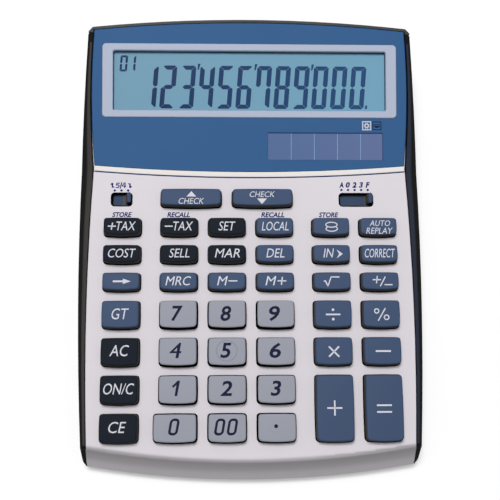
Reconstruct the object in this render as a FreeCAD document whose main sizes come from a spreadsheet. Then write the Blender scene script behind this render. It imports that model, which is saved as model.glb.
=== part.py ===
import FreeCAD, Part
import math
import os
import re
import sys

import Sketcher
from FreeCAD import Placement, Rotation, Vector

# Desktop calculator with a tilted display, 42 keys and two slide switches.
#
# Three frames are used. The table frame has +Z up. The deck frame is tilted by
# deck_tilt about X: x to the right, y towards the display, z out of the key deck,
# with its origin at the middle of the deck's front crease. The panel frame is tilted
# by panel_tilt more and starts at the hinge line, where deck and display panel meet.

# Driving sizes in millimetres and degrees.
SIZES = {
    # tilts and heights
    "deck_tilt": (3.5, "key deck against the table"),
    "panel_tilt": (9.0, "display panel against the key deck"),
    "deck_height": (14.0, "deck above the table at the front crease"),
    "shell_depth": (9.0, "deck surface to the parting plane of the two cases"),
    "foot_height": (1.6, "underside of the lower case above the table"),
    # key field
    "key_pitch": (18.0, "between key columns"),
    "column_gap": (3.3, "extra space between the groups of columns"),
    "key_width": (14.5, "key at the deck surface"),
    "small_key_depth": (7.4, "function keys, front to back"),
    "large_key_depth": (10.9, "number keys, front to back"),
    "small_row_pitch": (10.45, "between rows of function keys"),
    "large_row_pitch": (13.8, "between rows of number keys"),
    "row_gap": (3.15, "between number keys and function keys"),
    "zero_key_extra": (1.8, "zero key beyond its column, to the left"),
    "check_key_width": (23.4, "wide check keys"),
    "check_key_depth": (7.4, "wide check keys, front to back"),
    "check_key_gap": (3.7, "between the two check keys"),
    "check_row_gap": (3.875, "between the first row and the check keys"),
    "front_margin": (6.35, "front crease to the first keys"),
    "legend_strip": (7.025, "check keys to the hinge line"),
    # key caps
    "key_rise": (4.3, "key top above the deck"),
    "key_travel": (2.0, "key stroke"),
    "key_draft": (6.0, "slope of the cap's walls"),
    "key_corner_cut": (0.9, "upright corners of a cap"),
    "key_edge_cut": (0.45, "top edges of a cap"),
    "key_gap": (0.35, "between a cap and its opening"),
    "key_wall": (1.1, "wall and roof of a cap"),
    "flange_reach": (0.95, "retaining flange beyond the cap, each side"),
    "flange_thickness": (0.8, "retaining flange"),
    "flange_gap": (0.3, "between flange and deck at rest"),
    "plunger_width": (3.6, "plunger under the roof of a cap"),
    "plunger_drop": (0.5, "plunger below the flange"),
    # upper case
    "deck_plate": (2.0, "thickness of the key deck"),
    "case_wall": (2.0, "side walls"),
    "lip_wall": (1.6, "wall of the front lip"),
    "seat_plate": (1.8, "plate under the display panel"),
    "side_margin_front": (4.05, "keys to the deck's edge at the front corner"),
    "side_margin_waist": (4.15, "keys to the deck's edge at the hinge line"),
    "deck_bulge": (1.5, "bow of the deck's long edges"),
    "panel_bulge": (1.1, "bow of the display panel's side edges"),
    "crease_radius": (350.0, "front crease seen from above"),
    "crease_round": (2.5, "rounding of the front crease"),
    "lip_reach": (6.8, "front lip beyond the crease"),
    "rear_radius": (588.0, "rear edge seen from above"),
    "rear_corner_flare": (0.3, "panel's rear corners outside its waist"),
    "rear_gap": (0.3, "upper case to the rear wall"),
    "post_width": (3.4, "screw posts under the deck"),
    "pilot_bore": (1.9, "screw hole in a post"),
    # side rails
    "rail_width_front": (2.4, "rail beyond the deck at the front corner"),
    "rail_width_rear": (2.3, "rail beyond the panel at the rear"),
    "rail_bulge": (2.6, "bow of the rails' outer edge"),
    "rail_wall": (1.4, "outer wall of a rail"),
    "rail_cover": (1.2, "top of a rail over the case's shoulder"),
    "rail_proud": (0.2, "rail above the deck"),
    "rail_gap": (0.3, "between a rail and the deck or panel"),
    "rail_seat_gap": (0.1, "between a rail and the case it covers"),
    "rail_bevel": (0.9, "bevel of a rail's outer top edge"),
    "rail_front_round": (3.0, "rounding of a rail's front end seen from above"),
    # lower case
    "floor": (2.0, "floor of the lower case"),
    "lower_wall": (3.0, "walls of the lower case under the rails"),
    "rear_wall": (2.0, "rear wall of the lower case"),
    "rear_rim": (1.0, "rear wall seen behind the panel"),
    "lower_step": (0.3, "lower case inside the rails"),
    "lip_step": (1.0, "lower case behind the front lip"),
    "tray_corner_cut": (1.5, "upright corners of the lower case"),
    "bottom_round": (1.0, "bevel round the underside"),
    # display panel
    "panel_plate": (1.8, "blue display panel"),
    "panel_edge_cut": (0.3, "bevel round the panel's top"),
    "solar_front": (5.0, "hinge line to the solar cell"),
    "solar_depth": (10.5, "solar cell, front to back"),
    "solar_width": (44.4, "solar cell"),
    "solar_side": (8.4, "solar cell to the panel's right edge at the waist"),
    "solar_gap": (0.1, "round the solar cell"),
    "solar_sink": (0.3, "solar cell below the panel's surface"),
    "frame_front_gap": (5.8, "solar cell to display frame"),
    "frame_depth": (28.6, "display frame, front to back"),
    "frame_side": (2.9, "panel's edge at the waist to the display frame"),
    "frame_bar": (2.7, "display frame in front of and behind the window"),
    "frame_post": (4.1, "display frame beside the window"),
    "frame_corner": (1.5, "outer corners of the display frame"),
    "window_corner": (0.8, "corners of the window"),
    "frame_proud": (0.4, "display frame above the panel"),
    "frame_gap": (0.1, "between frame and panel"),
    "frame_edge_cut": (0.25, "bevels of the display frame"),
    "panel_rear_margin": (8.5, "display frame to the panel's rear edge"),
    "lens_plate": (1.0, "clear window plate"),
    "lens_margin": (1.9, "window plate beyond the window"),
    "lens_gap": (0.2, "round the window plate"),
    "glass_plate": (1.1, "each of the display's two glasses"),
    "glass_margin": (1.6, "display glass beyond the window"),
    "glass_ledge": (2.2, "contact ledge of the lower glass"),
    # trim strip
    "band_radius": (731.0, "trim strip seen from above"),
    "band_width": (2.1, "trim strip with its groove"),
    "band_groove": (0.35, "open groove in front of the trim strip"),
    "band_proud": (0.45, "trim strip above the deck"),
    "band_edge_cut": (0.3, "bevels of the trim strip"),
    # slide switches
    "slot_depth": (5.3, "switch slots, front to back"),
    "slot_corner": (1.1, "corners of a switch slot"),
    "switch_step": (2.54, "between the places of a switch"),
    "knob_width": (2.1, "finger nub"),
    "knob_end_gap": (0.45, "nub to the end of its slot"),
    "knob_side_gap": (0.3, "nub to the sides of its slot"),
    "knob_proud": (0.5, "nub above the deck"),
    "slider_plate": (1.0, "slide under the deck"),
    "slider_gap": (0.3, "between slide and deck, and slide foot and board"),
    "slider_overlap": (0.8, "slide beyond the slot, front and back"),
    "slider_short": (0.3, "slide shorter than its stroke beyond the nub"),
    "slider_foot": (2.4, "contact foot of a slide"),
    "left_switch_x": (49.0, "left slot from the middle"),
    "right_switch_x": (40.6, "right slot from the middle"),
    # key mat and circuit board
    "mat_sheet": (1.0, "rubber sheet"),
    "mat_inset": (2.2, "sheet inside the deck's front crease and sides"),
    "dome_gap": (0.1, "dome to plunger at rest"),
    "dome_width": (6.2, "foot of a rubber dome"),
    "dome_bevel": (1.2, "bevel round a dome's top"),
    "dome_left": (0.7, "dome height with its key pressed"),
    "board_plate": (1.2, "circuit board"),
    "board_rear": (5.5, "board beyond the rubber sheet, towards the display"),
    "mat_hole_gap": (0.4, "round the posts and the slides' feet"),
    "chip_width": (12.0, "controller chip"),
    "chip_height": (1.6, "controller chip"),
    "ribbon_width": (90.0, "ribbon from the display to the board"),
    "ribbon_thickness": (0.2, "ribbon"),
    "ribbon_joint": (2.0, "ribbon glued to board and glass"),
    # button cell
    "cell_diameter": (11.6, "button cell"),
    "cell_height": (5.4, "button cell"),
    "cell_x": (30.0, "button cell from the middle"),
    "clip_metal": (0.4, "spring clip"),
    "clip_width": (6.0, "spring clip"),
    # fasteners and feet
    "screw_bore": (2.4, "screw holes in board and lower case"),
    "screw_shank": (1.7, "screw thread"),
    "screw_head": (4.0, "screw head"),
    "screw_head_height": (1.3, "screw head"),
    "screw_bite": (4.0, "thread in the upper post"),
    "well_bore": (4.6, "screw well"),
    "well_wall": (1.2, "wall of a screw well"),
    "well_roof": (1.2, "shoulder that a screw head pulls on"),
    "rear_post_x": (50.0, "rear screws from the middle"),
    "rear_post_gap": (3.7, "rear screws in front of the panel's rear edge"),
    "foot_width": (14.0, "rubber foot, left to right"),
    "foot_depth": (7.0, "rubber foot, front to back"),
    "foot_corner_cut": (2.0, "corners of a rubber foot"),
    "foot_recess": (0.8, "foot let into the lower case"),
    "foot_gap": (0.2, "round a foot in its recess"),
    "foot_side": (13.0, "foot from the case's side at the front corner"),
    "foot_front": (12.0, "front feet behind the crease"),
    "foot_rear": (14.0, "rear feet in front of the rear wall"),
}

doc = FreeCAD.newDocument("Calculator")
sheet = doc.addObject("Spreadsheet::Sheet", "Size")
for line, (alias, (number, note)) in enumerate(SIZES.items(), start=1):
    sheet.set(f"A{line}", alias)
    sheet.set(f"B{line}", str(number))
    sheet.set(f"C{line}", note)
    sheet.setAlias(f"B{line}", alias)
doc.recompute()

WORD = re.compile(r"\b[a-z][a-z_]*\b")


def bound(text):
    """An expression on the sheet's cells, from one that uses their plain names."""
    return WORD.sub(lambda m: f"Size.{m[0]}" if m[0] in SIZES else m[0], text)


def value(text):
    """What an expression comes to, as a plain number."""
    result = sheet.evalExpression(bound(str(text)))
    return float(getattr(result, "Value", result))


def sag(radius, x):
    """How far an arc of this radius has fallen away at x from its middle."""
    return f"({radius} - sqrt(({radius}) ^ 2 - ({x}) ^ 2))"


# Places that several pieces share, all in the deck frame unless they say otherwise.
COLUMN_X = {
    1: "-(2.5 * key_pitch + column_gap)",
    2: "-(1.5 * key_pitch)",
    3: "-(0.5 * key_pitch)",
    4: "(0.5 * key_pitch)",
    5: "(1.5 * key_pitch + column_gap)",
    6: "(2.5 * key_pitch + column_gap)",
}
ROW_7 = "(front_margin + large_key_depth / 2)"
ROW_4 = f"({ROW_7} + 3 * large_row_pitch)"
ROW_3 = f"({ROW_4} + (large_key_depth + small_key_depth) / 2 + row_gap)"
ROW_1 = f"({ROW_3} + 2 * small_row_pitch)"
ROW_0 = f"({ROW_1} + (small_key_depth + check_key_depth) / 2 + check_row_gap)"
ROW_Y = {
    0: ROW_0,
    1: ROW_1,
    2: f"({ROW_3} + small_row_pitch)",
    3: ROW_3,
    4: ROW_4,
    5: f"({ROW_7} + 2 * large_row_pitch)",
    6: f"({ROW_7} + large_row_pitch)",
    7: ROW_7,
}
HINGE_Y = f"({ROW_0} + check_key_depth / 2 + legend_strip)"

# Half widths of deck and panel, and of the rails' outer edge.
FIELD_HALF = f"({COLUMN_X[6]} + key_width / 2)"
DECK_FRONT = f"({FIELD_HALF} + side_margin_front)"
WAIST = f"({FIELD_HALF} + side_margin_waist)"
PANEL_REAR = f"({WAIST} + rear_corner_flare)"
OUTER_FRONT = f"({DECK_FRONT} + rail_width_front)"
OUTER_REAR = f"({PANEL_REAR} + rail_width_rear)"

# The panel in its own frame, and its rear edge carried into the deck frame.
FRAME_FRONT = "(solar_front + solar_depth + frame_front_gap)"
PANEL_LENGTH = f"({FRAME_FRONT} + frame_depth + panel_rear_margin)"
REAR_Y = f"({HINGE_Y} + {PANEL_LENGTH} * cos(panel_tilt))"
WALL_Y = f"({REAR_Y} + rear_rim)"
UPPER_REAR = f"({WALL_Y} - rear_wall - rear_gap)"
FRAME_MIDDLE = f"({FRAME_FRONT} + frame_depth / 2)"
FRAME_WIDTH = f"(2 * ({WAIST} - frame_side))"
WINDOW_WIDTH = f"({FRAME_WIDTH} - 2 * frame_post)"
WINDOW_DEPTH = "(frame_depth - 2 * frame_bar)"

# The front lip runs down from the crease to the parting plane.
LIP_RADIUS = "(crease_radius + lip_reach)"
LIP_RUN = "(lip_reach / shell_depth)"
LIP_THICK = "(lip_wall * sqrt(lip_reach ^ 2 + shell_depth ^ 2) / shell_depth)"

# Heights of the stack under the deck, measured from the deck's surface.
FLANGE_TOP = "(0 - deck_plate - flange_gap)"
FLANGE_BOTTOM = f"({FLANGE_TOP} - flange_thickness)"
PLUNGER_END = f"({FLANGE_BOTTOM} - plunger_drop)"
MAT_TOP = f"({PLUNGER_END} - key_travel - dome_left)"
BOARD_TOP = f"({MAT_TOP} - mat_sheet)"
BOARD_BOTTOM = f"({BOARD_TOP} - board_plate)"
SHOULDER = "(rail_proud - rail_cover - rail_seat_gap)"
GLASS_TOP = "(0 - panel_plate - seat_plate)"
GLASS_BOTTOM = f"({GLASS_TOP} - 2 * glass_plate)"
SHEET_REAR = f"({ROW_0} + check_key_depth / 2 + 1.2)"
BOARD_REAR = f"({SHEET_REAR} + board_rear)"

# Screw posts: two between the key columns, two behind the display.
FRONT_POST_Y = f"({ROW_7} + 1.5 * large_row_pitch)"
POSTS_FRONT = [
    (f"(({COLUMN_X[1]} + {COLUMN_X[2]}) / 2)", FRONT_POST_Y),
    (f"(({COLUMN_X[4]} + {COLUMN_X[5]}) / 2)", FRONT_POST_Y),
]
REAR_POST_Y = f"({REAR_Y} - {sag('rear_radius', 'rear_post_x')} - rear_post_gap)"
POSTS_REAR = [("-rear_post_x", REAR_POST_Y), ("rear_post_x", REAR_POST_Y)]

# Slide switches: middle of the slot and the number of steps.
SWITCHES = {
    "rounding_switch_knob": ("-left_switch_x", 2),
    "decimal_switch_knob": ("right_switch_x", 4),
}

# Keys by row and column. Columns 5 and 6 end in two keys that are two rows deep.
KEY_ROWS = {
    1: [
        "add_tax_key",
        "less_tax_key",
        "set_key",
        "local_key",
        "store_key",
        "auto_replay_key",
    ],
    2: [
        "cost_key",
        "sell_key",
        "margin_key",
        "delete_key",
        "input_key",
        "correct_key",
    ],
    3: [
        "shift_key",
        "memory_recall_key",
        "memory_minus_key",
        "memory_plus_key",
        "square_root_key",
        "sign_key",
    ],
    4: ["grand_total_key", "key_7", "key_8", "key_9", "divide_key", "percent_key"],
    5: ["all_clear_key", "key_4", "key_5", "key_6", "multiply_key", "subtract_key"],
    6: ["on_clear_key", "key_1", "key_2", "key_3"],
    7: ["clear_entry_key", "key_0", "key_00", "decimal_point_key"],
}
KEYS = {}
for row, names in KEY_ROWS.items():
    depth = "small_key_depth" if row <= 3 else "large_key_depth"
    for column, name in enumerate(names, start=1):
        KEYS[name] = (COLUMN_X[column], ROW_Y[row], "key_width", depth, row)
KEYS["key_0"] = (
    f"({COLUMN_X[2]} - zero_key_extra / 2)",
    ROW_7,
    "(key_width + zero_key_extra)",
    "large_key_depth",
    7,
)
for column, name in ((5, "add_key"), (6, "equals_key")):
    middle = f"({ROW_7} + large_row_pitch / 2)"
    KEYS[name] = (COLUMN_X[column], middle, "key_width", "(large_key_depth + large_row_pitch)", 7)
for side, name in ((-1, "check_up_key"), (1, "check_down_key")):
    middle = f"({COLUMN_X[3]} + {side} * (check_key_width + check_key_gap) / 2)"
    KEYS[name] = (middle, ROW_0, "check_key_width", "check_key_depth", 0)


# Sketch helpers. A sketch's numbers are expressions, so it follows the sheet.


def sketch_on(body, label, role, lift="0"):
    """A sketch on one of the body's own planes, lifted along the plane's normal."""
    plane = next(f for f in body.Origin.OriginFeatures if f.Role == role)
    sketch = body.newObject("Sketcher::SketchObject", label)
    sketch.AttachmentSupport = [(plane, "")]
    sketch.MapMode = "FlatFace"
    sketch.setExpression("AttachmentOffset.Base.z", bound(lift))
    return sketch


def tilt_sketch(sketch, angle, y, z):
    """Turn a sketch on the XY plane about X and move its origin to y, z."""
    sketch.AttachmentOffset = Placement(Vector(0, 0, 0), Rotation(Vector(1, 0, 0), value(angle)))
    sketch.setExpression("AttachmentOffset.Rotation.Angle", bound(angle))
    sketch.setExpression("AttachmentOffset.Base.y", bound(y))
    sketch.setExpression("AttachmentOffset.Base.z", bound(z))


def panel_sketch(body, label, lift="0"):
    """A sketch in the panel frame inside a body that is built in the deck frame."""
    sketch = sketch_on(body, label, "XY_Plane")
    tilt_sketch(
        sketch,
        "panel_tilt",
        f"{HINGE_Y} - ({lift}) * sin(panel_tilt)",
        f"({lift}) * cos(panel_tilt)",
    )
    return sketch


def table_sketch(body, label, height):
    """A sketch parallel to the table inside a body that is built in the deck frame."""
    sketch = sketch_on(body, label, "XY_Plane")
    tilt_sketch(
        sketch,
        "0 - deck_tilt",
        f"0 - (deck_height - ({height})) * sin(deck_tilt)",
        f"0 - (deck_height - ({height})) * cos(deck_tilt)",
    )
    return sketch


def dimension(sketch, constraint, text):
    index = sketch.addConstraint(constraint)
    sketch.setExpression(f"Constraints[{index}]", bound(text))


def fix_point(sketch, geometry, position, x, y):
    dimension(sketch, Sketcher.Constraint("DistanceX", -1, 1, geometry, position, value(x)), x)
    dimension(sketch, Sketcher.Constraint("DistanceY", -1, 1, geometry, position, value(y)), y)


def circle(sketch, x, y, diameter):
    round_line = Part.Circle(Vector(value(x), value(y), 0), Vector(0, 0, 1), value(diameter) / 2)
    index = sketch.addGeometry(round_line, False)
    fix_point(sketch, index, 3, x, y)
    dimension(sketch, Sketcher.Constraint("Diameter", index, value(diameter)), diameter)


def arc_between(start, end, radius, side):
    """The shorter arc between two points; side is 1 if its centre lies to the left."""
    chord = end - start
    half = chord.Length / 2
    to_centre = math.sqrt(max(radius**2 - half**2, 0))
    left = Vector(-chord.y, chord.x, 0).normalize()
    centre = (start + end) * 0.5 + left * (to_centre * side)
    round_line = Part.Circle(centre, Vector(0, 0, 1), radius)
    angles = [math.atan2(p.y - centre.y, p.x - centre.x) for p in (start, end)]
    first, last = angles if side > 0 else reversed(angles)
    if last < first:
        last += 2 * math.pi
    return Part.ArcOfCircle(round_line, first, last)


def outline(sketch, corners):
    """A closed outline through corners (x, y, radius, side) in expressions.

    Without a radius the edge to the next corner is straight. With one it is an arc
    whose centre lies to the left (side 1) or to the right (side -1) of the way there.
    """
    points = [Vector(value(c[0]), value(c[1]), 0) for c in corners]
    count = len(corners)
    first = sketch.GeometryCount
    ends = []
    for i, corner in enumerate(corners):
        start, end = points[i], points[(i + 1) % count]
        if len(corner) == 2:
            sketch.addGeometry(Part.LineSegment(start, end), False)
            ends.append((1, 2))
        else:
            side = corner[3]
            sketch.addGeometry(arc_between(start, end, value(corner[2]), side), False)
            ends.append((1, 2) if side > 0 else (2, 1))
    joins = []
    for i in range(count):
        after = (i + 1) % count
        joins.append(
            Sketcher.Constraint("Coincident", first + i, ends[i][1], first + after, ends[after][0])
        )
    sketch.addConstraint(joins)
    for i, corner in enumerate(corners):
        fix_point(sketch, first + i, ends[i][0], corner[0], corner[1])
        if len(corner) > 2:
            radius = Sketcher.Constraint("Radius", first + i, value(corner[2]))
            dimension(sketch, radius, corner[2])


def box_corners(x, y, width, depth):
    left, right = f"({x}) - ({width}) / 2", f"({x}) + ({width}) / 2"
    front, rear = f"({y}) - ({depth}) / 2", f"({y}) + ({depth}) / 2"
    return left, right, front, rear


def rectangle(sketch, x, y, width, depth):
    left, right, front, rear = box_corners(x, y, width, depth)
    outline(sketch, [(left, front), (right, front), (right, rear), (left, rear)])


def cut_rectangle(sketch, x, y, width, depth, cut):
    """A rectangle whose four corners are cut off at 45 degrees."""
    left, right, front, rear = box_corners(x, y, width, depth)
    outline(
        sketch,
        [
            (f"{left} + {cut}", front),
            (f"{right} - {cut}", front),
            (right, f"{front} + {cut}"),
            (right, f"{rear} - {cut}"),
            (f"{right} - {cut}", rear),
            (f"{left} + {cut}", rear),
            (left, f"{rear} - {cut}"),
            (left, f"{front} + {cut}"),
        ],
    )


def round_rectangle(sketch, x, y, width, depth, radius):
    left, right, front, rear = box_corners(x, y, width, depth)
    outline(
        sketch,
        [
            (f"{left} + {radius}", front),
            (f"{right} - {radius}", front, radius, 1),
            (right, f"{front} + {radius}"),
            (right, f"{rear} - {radius}", radius, 1),
            (f"{right} - {radius}", rear),
            (f"{left} + {radius}", rear, radius, 1),
            (left, f"{rear} - {radius}"),
            (left, f"{front} + {radius}", radius, 1),
        ],
    )


def bow_radius(first, last, bulge):
    """Radius of an arc that stands out by bulge between two points (x, y)."""
    half_square = f"((({last[0]}) - ({first[0]})) ^ 2 + (({last[1]}) - ({first[1]})) ^ 2) / 4"
    return f"(({half_square} + ({bulge}) ^ 2) / (2 * ({bulge})))"


# Feature helpers.


def new_body(label):
    body = doc.addObject("PartDesign::Body", label)
    body.Label = label
    return body


def add_feature(body, kind, label):
    feature = body.newObject(kind, label)
    body.Tip = feature
    return feature


def pad(body, sketch, length, down=False, down_length=None, both=False):
    feature = add_feature(body, "PartDesign::Pad", f"{sketch.Name}_pad")
    feature.Profile = sketch
    feature.setExpression("Length", bound(length))
    feature.Reversed = down
    if both:
        feature.SideType = "Symmetric"
    if down_length:
        feature.SideType = "Two sides"
        feature.setExpression("Length2", bound(down_length))
    return feature


def pocket(body, sketch, length, up=False, both=False):
    """Cut along the sketch's normal: downwards, or up, or to both sides."""
    feature = add_feature(body, "PartDesign::Pocket", f"{sketch.Name}_cut")
    feature.Profile = sketch
    feature.setExpression("Length", bound(length))
    feature.Reversed = up
    if both:
        feature.SideType = "Symmetric"
    return feature


def dress(body, kind, base, edges, size):
    """Bevel or round the named edges of the feature that came before."""
    feature = add_feature(body, f"PartDesign::{kind}", f"{base.Name}_{kind.lower()}")
    feature.Base = (base, edges)
    feature.setExpression("Size" if kind == "Chamfer" else "Radius", bound(size))
    return feature


def draft(body, base, faces, angle):
    """Slope the named walls inwards, pivoted where they cross the body's XY plane."""
    feature = add_feature(body, "PartDesign::Draft", f"{base.Name}_draft")
    feature.Base = (base, faces)
    plane = next(f for f in body.Origin.OriginFeatures if f.Role == "XY_Plane")
    feature.NeutralPlane = (plane, [""])
    feature.setExpression("Angle", bound(angle))
    return feature


def wall_names(feature):
    """Names of the upright faces."""
    return [
        f"Face{number}"
        for number, face in enumerate(feature.Shape.Faces, start=1)
        if abs(face.normalAt(0, 0).z) < 1e-6
    ]


def edge_names(feature, wanted):
    """Names of the edges for whose two ends and middle the test is true."""
    names = []
    for number, edge in enumerate(feature.Shape.Edges, start=1):
        middle = edge.valueAt((edge.FirstParameter + edge.LastParameter) / 2)
        points = [vertex.Point for vertex in edge.Vertexes] + [middle]
        if wanted(points):
            names.append(f"Edge{number}")
    return names


def level_edges(feature, height, inside=None):
    """Names of the edges that lie at one height in the body's frame."""
    test = inside or (lambda point: True)
    return edge_names(
        feature, lambda points: all(abs(p.z - height) < 1e-4 and test(p) for p in points)
    )


def upright_edges(feature, test=lambda point: True):
    """Names of the edges that run up or down, also along a drafted wall."""
    return edge_names(
        feature,
        lambda points: abs(points[0].z - points[1].z) > 1.5 * abs(points[0].x - points[1].x)
        and abs(points[0].z - points[1].z) > 1.5 * abs(points[0].y - points[1].y)
        and all(test(p) for p in points),
    )


PIECES = {}


def keep(piece, frame):
    """Enter a finished piece in the list that is written, with the frame it is built in."""
    PIECES[piece.Label] = (piece, frame)


# Outlines of the case, seen along the deck's normal.


def case_outline(sketch, inset, front_y, rear_y):
    """The rails' outer outline drawn in by inset, from a front arc to a rear arc."""
    front_half, rear_half = f"({OUTER_FRONT} - ({inset}))", f"({OUTER_REAR} - ({inset}))"
    front_corner = f"({front_y} + {sag(LIP_RADIUS, front_half)})"
    rear_corner = f"({rear_y} - {sag('rear_radius', rear_half)})"
    right_front, right_rear = (front_half, front_corner), (rear_half, rear_corner)
    radius = bow_radius(right_front, right_rear, "rail_bulge")
    outline(
        sketch,
        [
            (f"-{front_half}", front_corner, LIP_RADIUS, 1),
            (*right_front, radius, 1),
            (*right_rear, "rear_radius", 1),
            (f"-{rear_half}", rear_corner, radius, 1),
        ],
    )


def deck_sides(gap="0"):
    """Right-hand corners of deck and panel, from the front lip to the rear edge."""
    front_half = f"({DECK_FRONT} + ({gap}))"
    waist_half = f"({WAIST} + ({gap}))"
    rear_half = f"({PANEL_REAR} + ({gap}))"
    front = (front_half, f"(0 - lip_reach + {sag(LIP_RADIUS, front_half)})")
    waist = (waist_half, f"({HINGE_Y} - band_width / 2 + {sag('band_radius', waist_half)})")
    rear = (rear_half, f"({UPPER_REAR} - {sag('rear_radius', rear_half)})")
    return front, waist, rear


def lip_profile(sketch, offset):
    """What lies above and in front of the lip, for a cut round the crease's centre."""
    outline(
        sketch,
        [
            (f"({offset})", f"({offset})"),
            (f"({offset})", "shell_depth"),
            ("0 - 3 * lip_reach", "shell_depth"),
            ("0 - 3 * lip_reach", "0 - 1.5 * shell_depth"),
            (f"({offset}) - 1.5 * lip_reach", "0 - 1.5 * shell_depth + (" + offset + ")"),
        ],
    )


def lip_cut(body, label, offset):
    """Turn the lip's profile about the upright axis through the crease's centre."""
    sketch = sketch_on(body, label, "YZ_Plane")
    lip_profile(sketch, offset)
    axis = sketch.addGeometry(Part.LineSegment(Vector(1, -1, 0), Vector(1, 1, 0)), True)
    sketch.addConstraint(Sketcher.Constraint("Vertical", axis))
    fix_point(sketch, axis, 1, "crease_radius", "-1")
    dimension(sketch, Sketcher.Constraint("DistanceY", axis, 1, axis, 2, 2.0), "2")
    groove = add_feature(body, "PartDesign::Groove", f"{label}_cut")
    groove.Profile = sketch
    groove.ReferenceAxis = (sketch, ["Axis0"])
    groove.Angle = 360
    return groove


def above_profile(sketch, lift, drop="0", break_y=HINGE_Y):
    """What lies above deck and panel, seen from the side.

    lift raises the whole surface. drop sinks it behind break_y, for the panel's seat.
    """
    top = "(4 * shell_depth)"
    far_rear = f"({WALL_Y} + 4 * shell_depth)"
    low = f"(({lift}) - ({drop}))"

    def on_panel(y):
        rise = f"(({y}) - {HINGE_Y}) * tan(panel_tilt)"
        return f"({low} / cos(panel_tilt) + {rise})"

    corners = [("0 - 4 * shell_depth", lift)]
    if drop == "0":
        # The two planes meet a little before or behind the hinge line.
        meet = f"({HINGE_Y} + ({lift}) * tan(panel_tilt / 2) * (0 - 1))"
        corners.append((meet, lift))
    else:
        corners += [(break_y, lift), (break_y, on_panel(break_y))]
    corners += [(far_rear, on_panel(far_rear)), (far_rear, top), ("0 - 4 * shell_depth", top)]
    outline(sketch, corners)
    return sketch


ALL_WIDTH = f"(4 * {OUTER_FRONT})"


# Upper case: the silver deck with its lip, and the seat of the display panel behind it.


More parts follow.
